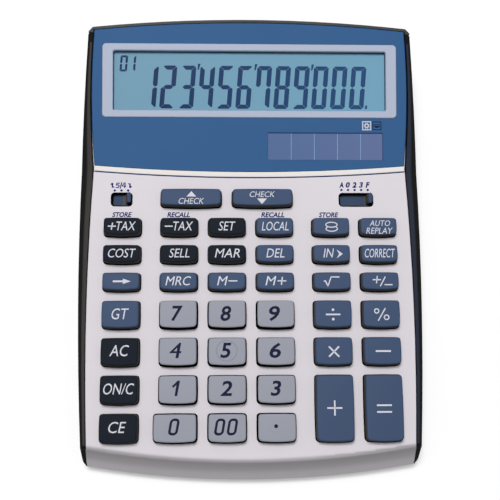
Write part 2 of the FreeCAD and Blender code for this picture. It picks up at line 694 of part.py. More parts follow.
def make_upper_case():
    body = new_body("upper_case")
    low = "0 - shell_depth"

    inner = sketch_on(body, "deck_outline", "XY_Plane", low)
    front, waist, rear = deck_sides()
    deck_radius = bow_radius(front, waist, "deck_bulge")
    panel_radius = bow_radius(waist, rear, "panel_bulge")
    outline(
        inner,
        [
            (f"-{front[0]}", front[1], LIP_RADIUS, 1),
            (*front, deck_radius, 1),
            (*waist, panel_radius, 1),
            (*rear, "rear_radius", 1),
            (f"-{rear[0]}", rear[1], panel_radius, 1),
            (f"-{waist[0]}", waist[1], deck_radius, 1),
        ],
    )
    pad(body, inner, "3 * shell_depth")
    wide = sketch_on(body, "shoulder_outline", "XY_Plane", low)
    inset = "(rail_wall + rail_seat_gap)"
    case_outline(wide, inset, "(0 - lip_reach)", UPPER_REAR)
    pad(body, wide, f"shell_depth + {SHOULDER}")
    break_y = f"({HINGE_Y} + {sag('band_radius', WAIST)})"
    above = above_profile(
        sketch_on(body, "deck_and_seat", "YZ_Plane"), "0", "panel_plate", break_y
    )
    pocket(body, above, ALL_WIDTH, both=True)
    sloped = lip_cut(body, "lip", "0")
    sloped.recompute(True)
    crease = edge_names(sloped, lambda points: all(abs(p.z) < 1e-4 and p.y < 20 for p in points)
                        and abs(points[0].x - points[1].x) > 50)
    dress(body, "Fillet", sloped, crease, "crease_round")

    band = sketch_on(body, "band_seat", "XY_Plane", "0")
    half = f"({WAIST} + case_wall)"
    band_front = f"({HINGE_Y} - band_width + {sag('band_radius', half)})"
    outline(
        band,
        [
            (f"-{half}", band_front, "band_radius", 1),
            (half, band_front),
            (half, break_y),
            (f"-{half}", break_y),
        ],
    )
    pocket(body, band, "panel_plate")

    # The hollow from below, in three levels: under the seat's front end, under the deck,
    # and up under the tilted seat.
    wall = f"({inset} + case_wall)"
    lip_inside = f"(0 - deck_plate * {LIP_RUN} + {LIP_THICK})"
    ceiling = "(panel_plate + seat_plate)"
    hollow = sketch_on(body, "hollow", "XY_Plane", low)
    case_outline(hollow, wall, lip_inside, f"({UPPER_REAR} - case_wall)")
    pocket(body, hollow, f"shell_depth - {ceiling}", up=True)
    under_deck = sketch_on(body, "under_deck", "XY_Plane", f"0 - {ceiling}")
    rear_end = f"({HINGE_Y} - band_width - case_wall)"
    half_front = f"({OUTER_FRONT} - {wall})"
    corner = f"({lip_inside} + {sag(LIP_RADIUS, half_front)})"
    outline(
        under_deck,
        [
            (f"-{half_front}", corner, LIP_RADIUS, 1),
            (half_front, corner),
            (half_front, rear_end),
            (f"-{half_front}", rear_end),
        ],
    )
    pocket(body, under_deck, f"{ceiling} - deck_plate", up=True)
    under_seat = sketch_on(body, "under_seat", "YZ_Plane")
    start = f"({HINGE_Y} + 1 / tan(panel_tilt) * ({ceiling} / cos(panel_tilt) - {ceiling}))"
    end = f"({UPPER_REAR} - {sag('rear_radius', PANEL_REAR)} - case_wall)"
    rise = f"((({end}) - {HINGE_Y}) * tan(panel_tilt) - {ceiling} / cos(panel_tilt))"
    outline(under_seat, [(start, f"0 - {ceiling}"), (end, f"0 - {ceiling}"), (end, rise)])
    pocket(body, under_seat, f"2 * ({PANEL_REAR} - case_wall)", both=True)
    inside_lip = sketch_on(body, "inside_lip", "YZ_Plane")
    foot_y = f"({lip_inside} - (1.5 * shell_depth - deck_plate) * {LIP_RUN})"
    outline(
        inside_lip,
        [
            (lip_inside, "0 - deck_plate"),
            (foot_y, "0 - 1.5 * shell_depth"),
            (f"{lip_inside} + 0.5", "0 - 1.5 * shell_depth"),
            (f"{lip_inside} + 0.5", "0 - deck_plate"),
        ],
    )
    axis = inside_lip.addGeometry(Part.LineSegment(Vector(1, -1, 0), Vector(1, 1, 0)), True)
    inside_lip.addConstraint(Sketcher.Constraint("Vertical", axis))
    fix_point(inside_lip, axis, 1, "crease_radius", "-1")
    dimension(inside_lip, Sketcher.Constraint("DistanceY", axis, 1, axis, 2, 2.0), "2")
    groove = add_feature(body, "PartDesign::Groove", "inside_lip_cut")
    groove.Profile = inside_lip
    groove.ReferenceAxis = (inside_lip, ["Axis0"])
    groove.Angle = 360

    # The display's window in the seat: a rebate for the window plate, then an opening.
    grow = "2 * (lens_margin + lens_gap)"
    rebate = panel_sketch(body, "lens_rebate", "0 - panel_plate")
    rectangle(rebate, "0", FRAME_MIDDLE, f"{WINDOW_WIDTH} + {grow}", f"{WINDOW_DEPTH} + {grow}")
    pocket(body, rebate, "lens_plate")
    opening = panel_sketch(body, "glass_opening", "0 - panel_plate")
    rectangle(opening, "0", FRAME_MIDDLE, f"{WINDOW_WIDTH} + 1", f"{WINDOW_DEPTH} + 1")
    pocket(body, opening, "seat_plate + 0.5")

    # Screw posts with pilot holes.
    front_posts = sketch_on(body, "front_posts", "XY_Plane", BOARD_TOP)
    for x, y in POSTS_FRONT:
        rectangle(front_posts, x, y, "post_width", "post_width")
    pad(body, front_posts, f"0 - deck_plate / 2 - {BOARD_TOP}")
    rear_posts = sketch_on(body, "rear_posts", "XY_Plane", low)
    for x, y in POSTS_REAR:
        rectangle(rear_posts, x, y, "post_width + 1.2", "post_width + 1.2")
    seat_here = f"((({REAR_POST_Y}) - {HINGE_Y}) * tan(panel_tilt) - {ceiling} / cos(panel_tilt))"
    pad(body, rear_posts, f"shell_depth + {seat_here} + seat_plate / 2")
    pilots = sketch_on(body, "front_pilots", "XY_Plane", BOARD_TOP)
    for x, y in POSTS_FRONT:
        circle(pilots, x, y, "pilot_bore")
    pocket(body, pilots, "screw_bite", up=True)
    pilots = sketch_on(body, "rear_pilots", "XY_Plane", low)
    for x, y in POSTS_REAR:
        circle(pilots, x, y, "pilot_bore")
    pocket(body, pilots, "screw_bite + 1", up=True)

    # One opening for each key, with the cap's corners plus the gap.
    cut = "(key_corner_cut + key_gap * (2 - sqrt(2)))"
    for row in sorted(ROW_Y):
        openings = sketch_on(body, f"key_openings_{row}", "XY_Plane")
        for x, y, width, depth, key_row in KEYS.values():
            if key_row == row:
                grow = "2 * key_gap"
                cut_rectangle(openings, x, y, f"{width} + {grow}", f"{depth} + {grow}", cut)
        pocket(body, openings, "deck_plate + flange_gap")
    slots = sketch_on(body, "switch_slots", "XY_Plane")
    for middle, steps in SWITCHES.values():
        length = f"(knob_width + {steps} * switch_step + 2 * knob_end_gap)"
        round_rectangle(slots, middle, ROW_0, length, "slot_depth", "slot_corner")
    pocket(body, slots, "deck_plate + flange_gap")
    keep(body, "deck")


# Side rails: black covers over the case's shoulders, one on each side.


def make_side_rails():
    body = new_body("right_rail")
    low = "0 - shell_depth"
    gap = "rail_gap"
    front, waist, rear = deck_sides(gap)
    front_half, rear_half = OUTER_FRONT, OUTER_REAR
    round_end = "rail_front_round"

    def round_drop(x):
        """How far the rounded front end has fallen back at x, before its outer side."""
        return f"sqrt({round_end} ^ 2 - ({round_end} - {front_half} + ({x})) ^ 2)"

    outer_front = (front_half, f"({front[1]} + {round_drop(front[0])})")
    outer_rear = (rear_half, f"({UPPER_REAR} - {sag('rear_radius', rear_half)})")
    outer_radius = bow_radius(outer_front, outer_rear, "rail_bulge")

    wall = sketch_on(body, "rail_wall_outline", "XY_Plane", low)
    wall_front = f"({front_half} - rail_wall)"
    wall_rear = f"({rear_half} - rail_wall)"
    inner_front = (wall_front, f"({outer_front[1]} - {round_drop(wall_front)})")
    inner_rear = (wall_rear, f"({UPPER_REAR} - {sag('rear_radius', wall_rear)})")
    outline(
        wall,
        [
            (*inner_front, round_end, 1),
            (*outer_front, outer_radius, 1),
            (*outer_rear, "rear_radius", 1),
            (*inner_rear, bow_radius(inner_front, inner_rear, "rail_bulge"), -1),
        ],
    )
    pad(body, wall, "3 * shell_depth")
    cover = sketch_on(body, "rail_cover_outline", "XY_Plane", "rail_proud - rail_cover")
    outline(
        cover,
        [
            (*front, round_end, 1),
            (*outer_front, outer_radius, 1),
            (*outer_rear, "rear_radius", 1),
            (*rear, bow_radius(waist, rear, "panel_bulge"), -1),
            (*waist, bow_radius(front, waist, "deck_bulge"), -1),
        ],
    )
    pad(body, cover, "2 * shell_depth")
    above = above_profile(sketch_on(body, "rail_top", "YZ_Plane"), "rail_proud")
    pocket(body, above, ALL_WIDTH, both=True)
    shaped = lip_cut(body, "rail_lip", "rail_proud")
    doc.recompute()
    outer = value(rear_half) - 0.6
    rear_end = value(outer_rear[1]) - 1.5
    top_edges = edge_names(
        shaped,
        lambda points: all(p.x > outer and p.y < rear_end + 2 for p in points)
        and points[-1].z > value("rail_proud") - 0.01
        and abs(points[0].y - points[1].y) > 20,
    )
    dress(body, "Chamfer", shaped, top_edges, "rail_bevel")

    mirrored = doc.addObject("Part::Mirroring", "left_rail")
    mirrored.Source = body
    mirrored.Normal = Vector(1, 0, 0)
    pair = doc.addObject("Part::Compound", "side_rails")
    pair.Label = "side_rails"
    pair.Links = [body, mirrored]
    keep(pair, "deck")


# Lower case: a black tray whose floor is parallel to the table, with a tall rear wall.


def make_lower_case():
    body = new_body("lower_case")
    front_inside = "(0 - lip_reach + lip_step + case_wall)"
    wall_inside = f"({WALL_Y} - rear_wall)"
    shell = sketch_on(body, "tray_walls", "XY_Plane", "0")
    case_outline(shell, "lower_step", "(0 - lip_reach + lip_step)", WALL_Y)
    case_outline(shell, "(lower_step + lower_wall)", front_inside, wall_inside)
    walls = pad(body, shell, "3 * shell_depth", down_length="4 * shell_depth")
    walls.recompute(True)
    outer = value(f"{OUTER_FRONT} - lower_step") - 1
    corners = upright_edges(walls, lambda p: abs(p.x) > outer)
    dress(body, "Chamfer", walls, corners, "tray_corner_cut")
    bottom = table_sketch(body, "underside", "foot_height")
    rectangle(bottom, "0", f"{WALL_Y} / 2", ALL_WIDTH, f"3 * {WALL_Y}")
    pocket(body, bottom, "6 * shell_depth")

    # The floor ends inside the walls, which stand along the deck's normal.
    plate = table_sketch(body, "tray_floor", "foot_height")

    def on_table(y):
        return f"(({y}) / cos(deck_tilt) + (deck_height - foot_height) * tan(deck_tilt))"

    case_outline(
        plate,
        "(lower_step + lower_wall / 2)",
        on_table(f"({front_inside} - case_wall / 2)"),
        on_table(f"({wall_inside} + rear_wall / 2)"),
    )
    tray = pad(body, plate, "floor")
    doc.recompute()
    level = value("foot_height")
    tilt = Rotation(Vector(1, 0, 0), value("deck_tilt"))
    lifted = Placement(Vector(0, 0, value("deck_height")), tilt)
    rim = edge_names(tray, lambda pts: all(abs(lifted.multVec(p).z - level) < 1e-4 for p in pts))
    dress(body, "Chamfer", tray, rim, "bottom_round")

    # Everything above the parting plane goes, up to the rear wall.
    above = sketch_on(body, "above_parting", "XY_Plane", "0 - shell_depth")
    side = f"({OUTER_REAR} + 5)"
    side_y = f"({wall_inside} - {sag('rear_radius', side)})"
    outline(
        above,
        [
            (f"-{side}", "0 - 3 * lip_reach"),
            (side, "0 - 3 * lip_reach"),
            (side, side_y, "rear_radius", 1),
            (f"-{side}", side_y),
        ],
    )
    pocket(body, above, "6 * shell_depth", up=True)
    top = above_profile(sketch_on(body, "rear_rim_top", "YZ_Plane"), "0")
    pocket(body, top, ALL_WIDTH, both=True)

    # The display panel's rear edge lies on a ledge of the rear wall.
    ledge = panel_sketch(body, "panel_ledge", "0 - panel_plate")
    reach = f"({PANEL_REAR} + rail_gap)"
    ledge_y = f"({PANEL_LENGTH} - {sag('rear_radius', reach)})"
    outline(
        ledge,
        [
            (f"-{reach}", FRAME_MIDDLE),
            (reach, FRAME_MIDDLE),
            (reach, ledge_y, "rear_radius", 1),
            (f"-{reach}", ledge_y),
        ],
    )
    pocket(body, ledge, "2 * panel_plate", up=True)

    # Screw wells: posts up to the board or to the upper case's posts.
    for label, places, top_z in (
        ("front_wells", POSTS_FRONT, BOARD_BOTTOM),
        ("rear_wells", POSTS_REAR, "(0 - shell_depth)"),
    ):
        posts = sketch_on(body, label, "XY_Plane", top_z)
        width = "(well_bore + 2 * well_wall)"
        for x, y in places:
            rectangle(posts, x, y, width, width)
        depth = f"(({places[0][1]}) * tan(deck_tilt) + ({top_z}) + (deck_height - foot_height) / cos(deck_tilt))"
        pad(body, posts, f"{depth} - floor / 2", down=True)
        bores = sketch_on(body, f"{label}_bore", "XY_Plane", top_z)
        for x, y in places:
            circle(bores, x, y, "screw_bore")
        pocket(body, bores, f"{depth} + 2")
        wells = sketch_on(body, f"{label}_head", "XY_Plane", f"{top_z} - well_roof")
        for x, y in places:
            circle(wells, x, y, "well_bore")
        pocket(body, wells, f"{depth} + 2")

    recesses = table_sketch(body, "foot_recesses", "foot_height")
    grow = "2 * foot_gap"
    corner = "(foot_corner_cut + foot_gap * (2 - sqrt(2)))"
    for x, y in foot_places():
        cut_rectangle(recesses, x, y, f"foot_width + {grow}", f"foot_depth + {grow}", corner)
    pocket(body, recesses, "foot_recess", up=True)
    keep(body, "deck")


def foot_places():
    """Middles of the feet in the table frame, from the crease's place on the table."""
    x = f"({OUTER_FRONT} - foot_side)"
    front = "foot_front"
    rear = f"({WALL_Y} - foot_rear)"
    return [(f"-{x}", front), (x, front), (f"-{x}", rear), (x, rear)]


# Display panel, its frame, window plate and glass, all in the panel frame.


def make_display_panel():
    body = new_body("display_panel")
    plate = sketch_on(body, "panel_outline", "XY_Plane", "0 - panel_plate")
    half = f"({WAIST} - 0.1)"
    rear_half = f"({PANEL_REAR} - 0.1)"
    waist = (half, f"({sag('band_radius', half)} + 0.1)")
    rear = (rear_half, f"({PANEL_LENGTH} - {sag('rear_radius', rear_half)} - rear_gap / 2)")
    radius = bow_radius(waist, rear, "panel_bulge")
    outline(
        plate,
        [
            (f"-{half}", waist[1], "band_radius", 1),
            (*waist, radius, 1),
            (*rear, "rear_radius", 1),
            (f"-{rear_half}", rear[1], radius, 1),
        ],
    )
    base = pad(body, plate, "panel_plate")
    doc.recompute()
    dress(body, "Chamfer", base, level_edges(base, 0.0), "panel_edge_cut")
    openings = sketch_on(body, "panel_openings", "XY_Plane")
    grow = "2 * frame_gap"
    round_rectangle(
        openings,
        "0",
        FRAME_MIDDLE,
        f"{FRAME_WIDTH} + {grow}",
        f"frame_depth + {grow}",
        "(frame_corner + frame_gap)",
    )
    x, y = solar_middle()
    rectangle(openings, x, y, "solar_width + 2 * solar_gap", "solar_depth + 2 * solar_gap")
    pocket(body, openings, "2 * panel_plate")
    keep(body, "panel")


def solar_middle():
    return f"({WAIST} - solar_side - solar_width / 2)", "(solar_front + solar_depth / 2)"


def make_display_frame():
    body = new_body("display_frame")
    ring = sketch_on(body, "frame_outline", "XY_Plane", "0 - panel_plate")
    round_rectangle(ring, "0", FRAME_MIDDLE, FRAME_WIDTH, "frame_depth", "frame_corner")
    round_rectangle(ring, "0", FRAME_MIDDLE, WINDOW_WIDTH, WINDOW_DEPTH, "window_corner")
    base = pad(body, ring, "panel_plate + frame_proud")
    doc.recompute()
    rims = level_edges(base, value("frame_proud"))
    dress(body, "Chamfer", base, rims, "frame_edge_cut")
    keep(body, "panel")


def make_lens():
    body = new_body("display_lens")
    plate = sketch_on(body, "lens_outline", "XY_Plane", "0 - panel_plate - lens_plate")
    grow = "2 * lens_margin"
    rectangle(plate, "0", FRAME_MIDDLE, f"{WINDOW_WIDTH} + {grow}", f"{WINDOW_DEPTH} + {grow}")
    pad(body, plate, "lens_plate")
    keep(body, "panel")


def make_lcd_module():
    body = new_body("lcd_module")
    grow = "2 * glass_margin"
    upper = sketch_on(body, "upper_glass", "XY_Plane", f"{GLASS_TOP} - glass_plate")
    rectangle(upper, "0", FRAME_MIDDLE, f"{WINDOW_WIDTH} + {grow}", f"{WINDOW_DEPTH} + {grow}")
    pad(body, upper, "glass_plate")
    lower = sketch_on(body, "lower_glass", "XY_Plane", f"{GLASS_TOP} - glass_plate")
    rectangle(
        lower,
        "0",
        f"({FRAME_MIDDLE} - glass_ledge / 2)",
        f"{WINDOW_WIDTH} + {grow}",
        f"{WINDOW_DEPTH} + {grow} + glass_ledge",
    )
    pad(body, lower, "glass_plate", down=True)
    keep(body, "panel")


def make_solar_cell():
    body = new_body("solar_cell")
    plate = sketch_on(body, "cell_outline", "XY_Plane", "0 - panel_plate")
    x, y = solar_middle()
    rectangle(plate, x, y, "solar_width", "solar_depth")
    pad(body, plate, "panel_plate - solar_sink")
    keep(body, "panel")


def make_trim_strip():
    body = new_body("trim_strip")
    strip = sketch_on(body, "strip_outline", "XY_Plane", "0 - panel_plate")
    half = f"({WAIST} - 0.1)"
    front = f"({HINGE_Y} - band_width + band_groove + {sag('band_radius', half)})"
    rear = f"({HINGE_Y} + {sag('band_radius', half)})"
    outline(
        strip,
        [
            (f"-{half}", front, "band_radius", 1),
            (half, front),
            (half, rear, "band_radius", -1),
            (f"-{half}", rear),
        ],
    )
    base = pad(body, strip, "panel_plate + band_proud")
    doc.recompute()
    dress(body, "Chamfer", base, level_edges(base, value("band_proud")), "band_edge_cut")
    keep(body, "deck")


# Keys: one hollow cap, with a retaining flange at each side and a plunger for the dome.


def make_key(name, width, depth):
    body = new_body(name)
    cap = sketch_on(body, f"{name}_cap", "XY_Plane", FLANGE_TOP)
    rectangle(cap, "0", "0", width, depth)
    blank = pad(body, cap, f"key_rise - {FLANGE_TOP}")
    blank.recompute(True)
    sloped = draft(body, blank, wall_names(blank), "key_draft")
    sloped.recompute(True)
    cornered = dress(body, "Chamfer", sloped, upright_edges(sloped), "key_corner_cut")
    cornered.recompute(True)
    top = level_edges(cornered, value("key_rise"))
    dress(body, "Chamfer", cornered, top, "key_edge_cut")
    flange = sketch_on(body, f"{name}_flange", "XY_Plane", FLANGE_TOP)
    reach = "2 * flange_reach"
    widen = "2 * (deck_plate + flange_gap) * tan(key_draft)"
    rectangle(flange, "0", "0", f"{width} + {reach}", f"{depth} + {widen}")
    pad(body, flange, "flange_thickness", down=True)
    hollow = sketch_on(body, f"{name}_hollow", "XY_Plane", FLANGE_BOTTOM)
    walls = "2 * key_wall + 2 * key_rise * tan(key_draft)"
    rectangle(hollow, "0", "0", f"{width} - ({walls})", f"{depth} - ({walls})")
    pocket(body, hollow, f"key_rise - key_wall - {FLANGE_BOTTOM}", up=True)
    plunger = sketch_on(body, f"{name}_plunger", "XY_Plane", PLUNGER_END)
    rectangle(plunger, "0", "0", "plunger_width", "plunger_width")
    pad(body, plunger, f"key_rise - key_wall - {PLUNGER_END}")
    return body


def make_keys():
    for name, (x, y, width, depth, _) in KEYS.items():
        body = make_key(name, width, depth)
        keep(body, ("deck", x, y))


# Slide switches: a finger nub on a slide that runs under the deck.


def make_switch_knob(name, middle, steps):
    body = new_body(name)
    travel = f"({steps} * switch_step)"
    rest_x = f"({middle} + {travel} / 2)"
    top = "(0 - deck_plate - slider_gap)"
    slide = sketch_on(body, f"{name}_slide", "XY_Plane", top)
    length = f"(knob_width + 2 * ({travel} - slider_short))"
    rectangle(slide, "0", "0", length, "slot_depth + 2 * slider_overlap")
    pad(body, slide, "slider_plate", down=True)
    nub = sketch_on(body, f"{name}_nub", "XY_Plane", top)
    rectangle(nub, "0", "0", "knob_width", "slot_depth - 2 * knob_side_gap")
    raised = pad(body, nub, f"knob_proud - {top}")
    doc.recompute()
    dress(body, "Chamfer", raised, level_edges(raised, value("knob_proud")), "knob_side_gap")
    foot = sketch_on(body, f"{name}_foot", "XY_Plane", f"{top} - slider_plate")
    rectangle(foot, "0", "0", "slider_foot", "slider_foot")
    pad(body, foot, f"{top} - slider_plate - {BOARD_TOP} - slider_gap", down=True)
    keep(body, ("deck", rest_x, ROW_0))


# Under the keys: the rubber mat with its domes, and the circuit board.


def sheet_sides():
    """Half width and front edge of sheet and board, inside the case's walls."""
    half = f"({OUTER_FRONT} - rail_wall - rail_seat_gap - case_wall - mat_inset)"
    front = f"({sag('crease_radius', half)} + mat_inset - 1)"
    return half, front


def make_key_mat():
    body = new_body("key_mat")
    half, front = sheet_sides()
    sheet_outline = sketch_on(body, "mat_sheet_outline", "XY_Plane", BOARD_TOP)
    outline(
        sheet_outline,
        [(f"-{half}", front), (half, front), (half, SHEET_REAR), (f"-{half}", SHEET_REAR)],
    )
    pad(body, sheet_outline, "mat_sheet")
    holes = sketch_on(body, "mat_holes", "XY_Plane", MAT_TOP)
    for x, y in POSTS_FRONT:
        rectangle(holes, x, y, "post_width + 2 * mat_hole_gap", "post_width + 2 * mat_hole_gap")
    for middle, steps in SWITCHES.values():
        length = f"({steps} * switch_step + slider_foot + 2 * mat_hole_gap)"
        rectangle(holes, middle, ROW_0, length, "slider_foot + 2 * mat_hole_gap")
    pocket(body, holes, "2 * mat_sheet")
    for row in sorted(ROW_Y):
        domes = sketch_on(body, f"domes_{row}", "XY_Plane", MAT_TOP)
        for x, y, _, _, key_row in KEYS.values():
            if key_row == row:
                rectangle(domes, x, y, "dome_width", "dome_width")
        pad(body, domes, f"{PLUNGER_END} - dome_gap - {MAT_TOP}")
    doc.recompute()
    crowns = level_edges(body.Tip, value(f"{PLUNGER_END} - dome_gap"))
    dress(body, "Chamfer", body.Tip, crowns, "dome_bevel")
    keep(body, "deck")


def make_circuit_board():
    body = new_body("circuit_board")
    half, front = sheet_sides()
    board = sketch_on(body, "board_outline", "XY_Plane", BOARD_TOP)
    outline(
        board, [(f"-{half}", front), (half, front), (half, BOARD_REAR), (f"-{half}", BOARD_REAR)]
    )
    pad(body, board, "board_plate", down=True)
    holes = sketch_on(body, "board_holes", "XY_Plane", BOARD_TOP)
    for x, y in POSTS_FRONT:
        circle(holes, x, y, "screw_bore")
    pocket(body, holes, "2 * board_plate")
    chip = sketch_on(body, "chip", "XY_Plane", BOARD_BOTTOM)
    rectangle(chip, COLUMN_X[3], ROW_Y[1], "chip_width", "chip_width")
    pad(body, chip, "chip_height", down=True)
    keep(body, "deck")


def make_lcd_ribbon():
    """A flat ribbon from the top of the board to the underside of the display glass."""
    body = new_body("lcd_ribbon")
    side = sketch_on(body, "ribbon_side", "YZ_Plane")
    glass_v = f"({FRAME_MIDDLE} - {WINDOW_DEPTH} / 2 - glass_margin - glass_ledge)"

    def in_deck(v, w):
        y = f"({HINGE_Y} + ({v}) * cos(panel_tilt) - ({w}) * sin(panel_tilt))"
        z = f"(({v}) * sin(panel_tilt) + ({w}) * cos(panel_tilt))"
        return y, z

    under = f"({GLASS_BOTTOM} - ribbon_thickness)"
    board_end = f"({BOARD_REAR} - ribbon_joint - 0.5)"
    bend = f"({BOARD_REAR} - 0.5)"
    outline(
        side,
        [
            (board_end, BOARD_TOP),
            (bend, BOARD_TOP),
            in_deck(f"{glass_v} - 0.2", under),
            in_deck(f"{glass_v} + ribbon_joint", under),
            in_deck(f"{glass_v} + ribbon_joint", GLASS_BOTTOM),
            in_deck(f"{glass_v} - 0.2", GLASS_BOTTOM),
            (bend, f"{BOARD_TOP} + ribbon_thickness"),
            (board_end, f"{BOARD_TOP} + ribbon_thickness"),
        ],
    )
    pad(body, side, "ribbon_width", both=True)
    keep(body, "deck")


# Button cell in its clip, under the board beside the chip.


def make_button_cell():
    body = new_body("button_cell")
    top = f"({BOARD_BOTTOM} - clip_metal)"
    can = sketch_on(body, "cell_can", "XY_Plane", top)
    circle(can, "cell_x", ROW_Y[1], "cell_diameter")
    pad(body, can, "cell_height", down=True)
    keep(body, "deck")


def make_battery_clip():
    body = new_body("battery_clip")
    side = sketch_on(body, "clip_side", "XZ_Plane", f"0 - {ROW_Y[1]}")
    left = "(cell_x - cell_diameter / 2 - 0.3)"
    right = "(cell_x + cell_diameter / 4)"
    top = BOARD_BOTTOM
    low = f"({BOARD_BOTTOM} - 2 * clip_metal - cell_height)"
    outline(
        side,
        [
            (f"{left} - clip_metal", low),
            (right, low),
            (right, f"{low} + clip_metal"),
            (left, f"{low} + clip_metal"),
            (left, f"{top} - clip_metal"),
            (right, f"{top} - clip_metal"),
            (right, top),
            (f"{left} - clip_metal", top),
        ],
    )
    pad(body, side, "clip_width", both=True)
    keep(body, "deck")


# Screws from below and rubber feet.


def make_case_screws():
    screws = []
    for group, places, seat in (
        ("front", POSTS_FRONT, BOARD_BOTTOM),
        ("rear", POSTS_REAR, "(0 - shell_depth)"),
    ):
        reach = "(well_roof + board_plate)" if group == "front" else "(well_roof + 1)"
        for number, (x, y) in enumerate(places, start=1):
            head = doc.addObject("Part::Cylinder", f"{group}_screw_head_{number}")
            shank = doc.addObject("Part::Prism", f"{group}_screw_shank_{number}")
            shank.Polygon = 10
            head.setExpression("Radius", bound("screw_head / 2"))
            shank.setExpression("Circumradius", bound("screw_shank / 2"))
            for piece, height, bottom in (
                (head, "screw_head_height", f"{seat} - well_roof - screw_head_height"),
                (shank, f"{reach} + screw_bite - 1", f"{seat} - well_roof"),
            ):
                piece.setExpression("Height", bound(height))
                piece.setExpression("Placement.Base.x", bound(x))
                piece.setExpression("Placement.Base.y", bound(y))
                piece.setExpression("Placement.Base.z", bound(bottom))
            screw = doc.addObject("Part::Fuse", f"{group}_screw_{number}")
            screw.Base, screw.Tool = head, shank
            screws.append(screw)
    group = doc.addObject("Part::Compound", "case_screws")
    group.Label = "case_screws"
    group.Links = screws
    keep(group, "deck")


def make_rubber_feet():
    feet = []
    for number, (x, y) in enumerate(foot_places(), start=1):
        foot = new_body(f"foot_{number}")
        sole = sketch_on(foot, f"foot_{number}_sole", "XY_Plane")
        cut_rectangle(sole, x, y, "foot_width", "foot_depth", "foot_corner_cut")
        pad(foot, sole, "foot_height + foot_recess")
        feet.append(foot)
    group = doc.addObject("Part::Compound", "rubber_feet")
    group.Label = "rubber_feet"
    group.Links = feet
    keep(group, "table")


make_upper_case()
make_side_rails()
make_lower_case()
make_display_panel()
make_display_frame()
make_lens()
make_lcd_module()
make_solar_cell()
make_trim_strip()
make_keys()
for knob, (slot_middle, slot_steps) in SWITCHES.items():
    make_switch_knob(knob, slot_middle, slot_steps)
make_key_mat()
make_circuit_board()
make_lcd_ribbon()
make_button_cell()
make_battery_clip()
make_case_screws()
make_rubber_feet()
doc.recompute()

# Put each piece in the table frame, with the origin under the middle of the whole.
DECK = Placement(Vector(0, 0, value("deck_height")), Rotation(Vector(1, 0, 0), value("deck_tilt")))
PANEL = DECK * Placement(
    Vector(0, value(HINGE_Y), 0), Rotation(Vector(1, 0, 0), value("panel_tilt"))
)


def placed(frame):
    if frame == "table":
        return Placement()
    if frame == "panel":
        return PANEL
    if frame == "deck":
        return DECK
    _, x, y = frame
    return DECK * Placement(Vector(value(x), value(y), 0), Rotation())


box = None
for piece, frame in PIECES.values():
    shape = piece.Shape.copy()
    shape.Placement = placed(frame) * shape.Placement
    one = shape.optimalBoundingBox(False)
    if box is None:
        box = one
    else:
        box.add(one)
home = Placement(Vector(0, -(box.YMin + box.YMax) / 2, 0), Rotation())
for piece, frame in PIECES.values():
    piece.Placement = home * placed(frame)
doc.recompute()

# Nothing is written unless every object and every piece is sound.
faults = [
    f"{item.Name}: {item.State}"
    for item in doc.Objects
    if "Invalid" in item.State or "Error" in item.State
]
for label, (piece, _) in PIECES.items():
    if piece.Shape.isNull() or not piece.Shape.isValid():
        faults.append(f"{label}: its shape is empty or not valid")
if faults:
    sys.exit("\n".join(faults))

os.makedirs("parts", exist_ok=True)
for label, (piece, _) in PIECES.items():
    piece.Shape.exportStep(f"parts/{label}.step")
print(f"{len(PIECES)} pieces, box {box}")
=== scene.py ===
# %% [markdown]
# A desktop calculator, dressed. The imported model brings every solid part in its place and
# with its joints. This file gives each part its plastic, paint, glass or rubber, rebuilds
# the key caps with softly rounded edges, and prints legends and display segments on them.

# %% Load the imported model
import math

import bmesh
import bpy
from mathutils import Matrix, Vector
from mathutils.bvhtree import BVHTree


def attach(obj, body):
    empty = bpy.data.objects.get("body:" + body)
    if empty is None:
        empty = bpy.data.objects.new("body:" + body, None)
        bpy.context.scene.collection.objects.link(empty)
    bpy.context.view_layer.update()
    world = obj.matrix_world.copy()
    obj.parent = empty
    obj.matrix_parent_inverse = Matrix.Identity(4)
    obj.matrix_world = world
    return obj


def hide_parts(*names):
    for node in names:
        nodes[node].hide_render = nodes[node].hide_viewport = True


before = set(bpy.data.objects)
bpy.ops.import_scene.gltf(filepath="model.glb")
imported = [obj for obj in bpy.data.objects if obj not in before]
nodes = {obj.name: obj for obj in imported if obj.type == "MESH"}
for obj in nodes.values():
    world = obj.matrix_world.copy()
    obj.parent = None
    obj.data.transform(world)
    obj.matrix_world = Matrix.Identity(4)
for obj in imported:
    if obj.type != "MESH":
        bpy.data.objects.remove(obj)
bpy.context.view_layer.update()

print("packed parts:", len(nodes))

# %% [markdown]
# The calculator is laid out in two tilted planes. Everything on the key deck is easiest to
# place in the deck's own frame, with x to the right, y towards the display and z out of the
# deck. The display panel is tilted a little more and has a frame of its own. Two matrices
# carry points from these frames into the world, so every size below is in plain
# millimetres, measured on the surface it belongs to.

# %% Frames of deck and panel
MM = 0.001
DECK_TILT = math.radians(3.5)
PANEL_TILT = math.radians(9.0)
FRONT_HEIGHT = 14.0
HINGE_Y = 108.4
HOME_Y = -80.92635

DECK = (
    Matrix.Translation((0, HOME_Y * MM, FRONT_HEIGHT * MM))
    @ Matrix.Rotation(DECK_TILT, 4, "X")
    @ Matrix.Scale(MM, 4)
)
PANEL = DECK @ Matrix.Translation((0, HINGE_Y, 0)) @ Matrix.Rotation(PANEL_TILT, 4, "X")
UNDECK = DECK.inverted()


def deck_extent(node, above=None):
    """Lowest and highest corner of a part in the deck's frame, above a height if asked."""
    points = [UNDECK @ v.co for v in nodes[node].data.vertices]
    if above is not None:
        points = [p for p in points if p.z > above]
    low = Vector([min(p[i] for p in points) for i in range(3)])
    high = Vector([max(p[i] for p in points) for i in range(3)])
    return low, high


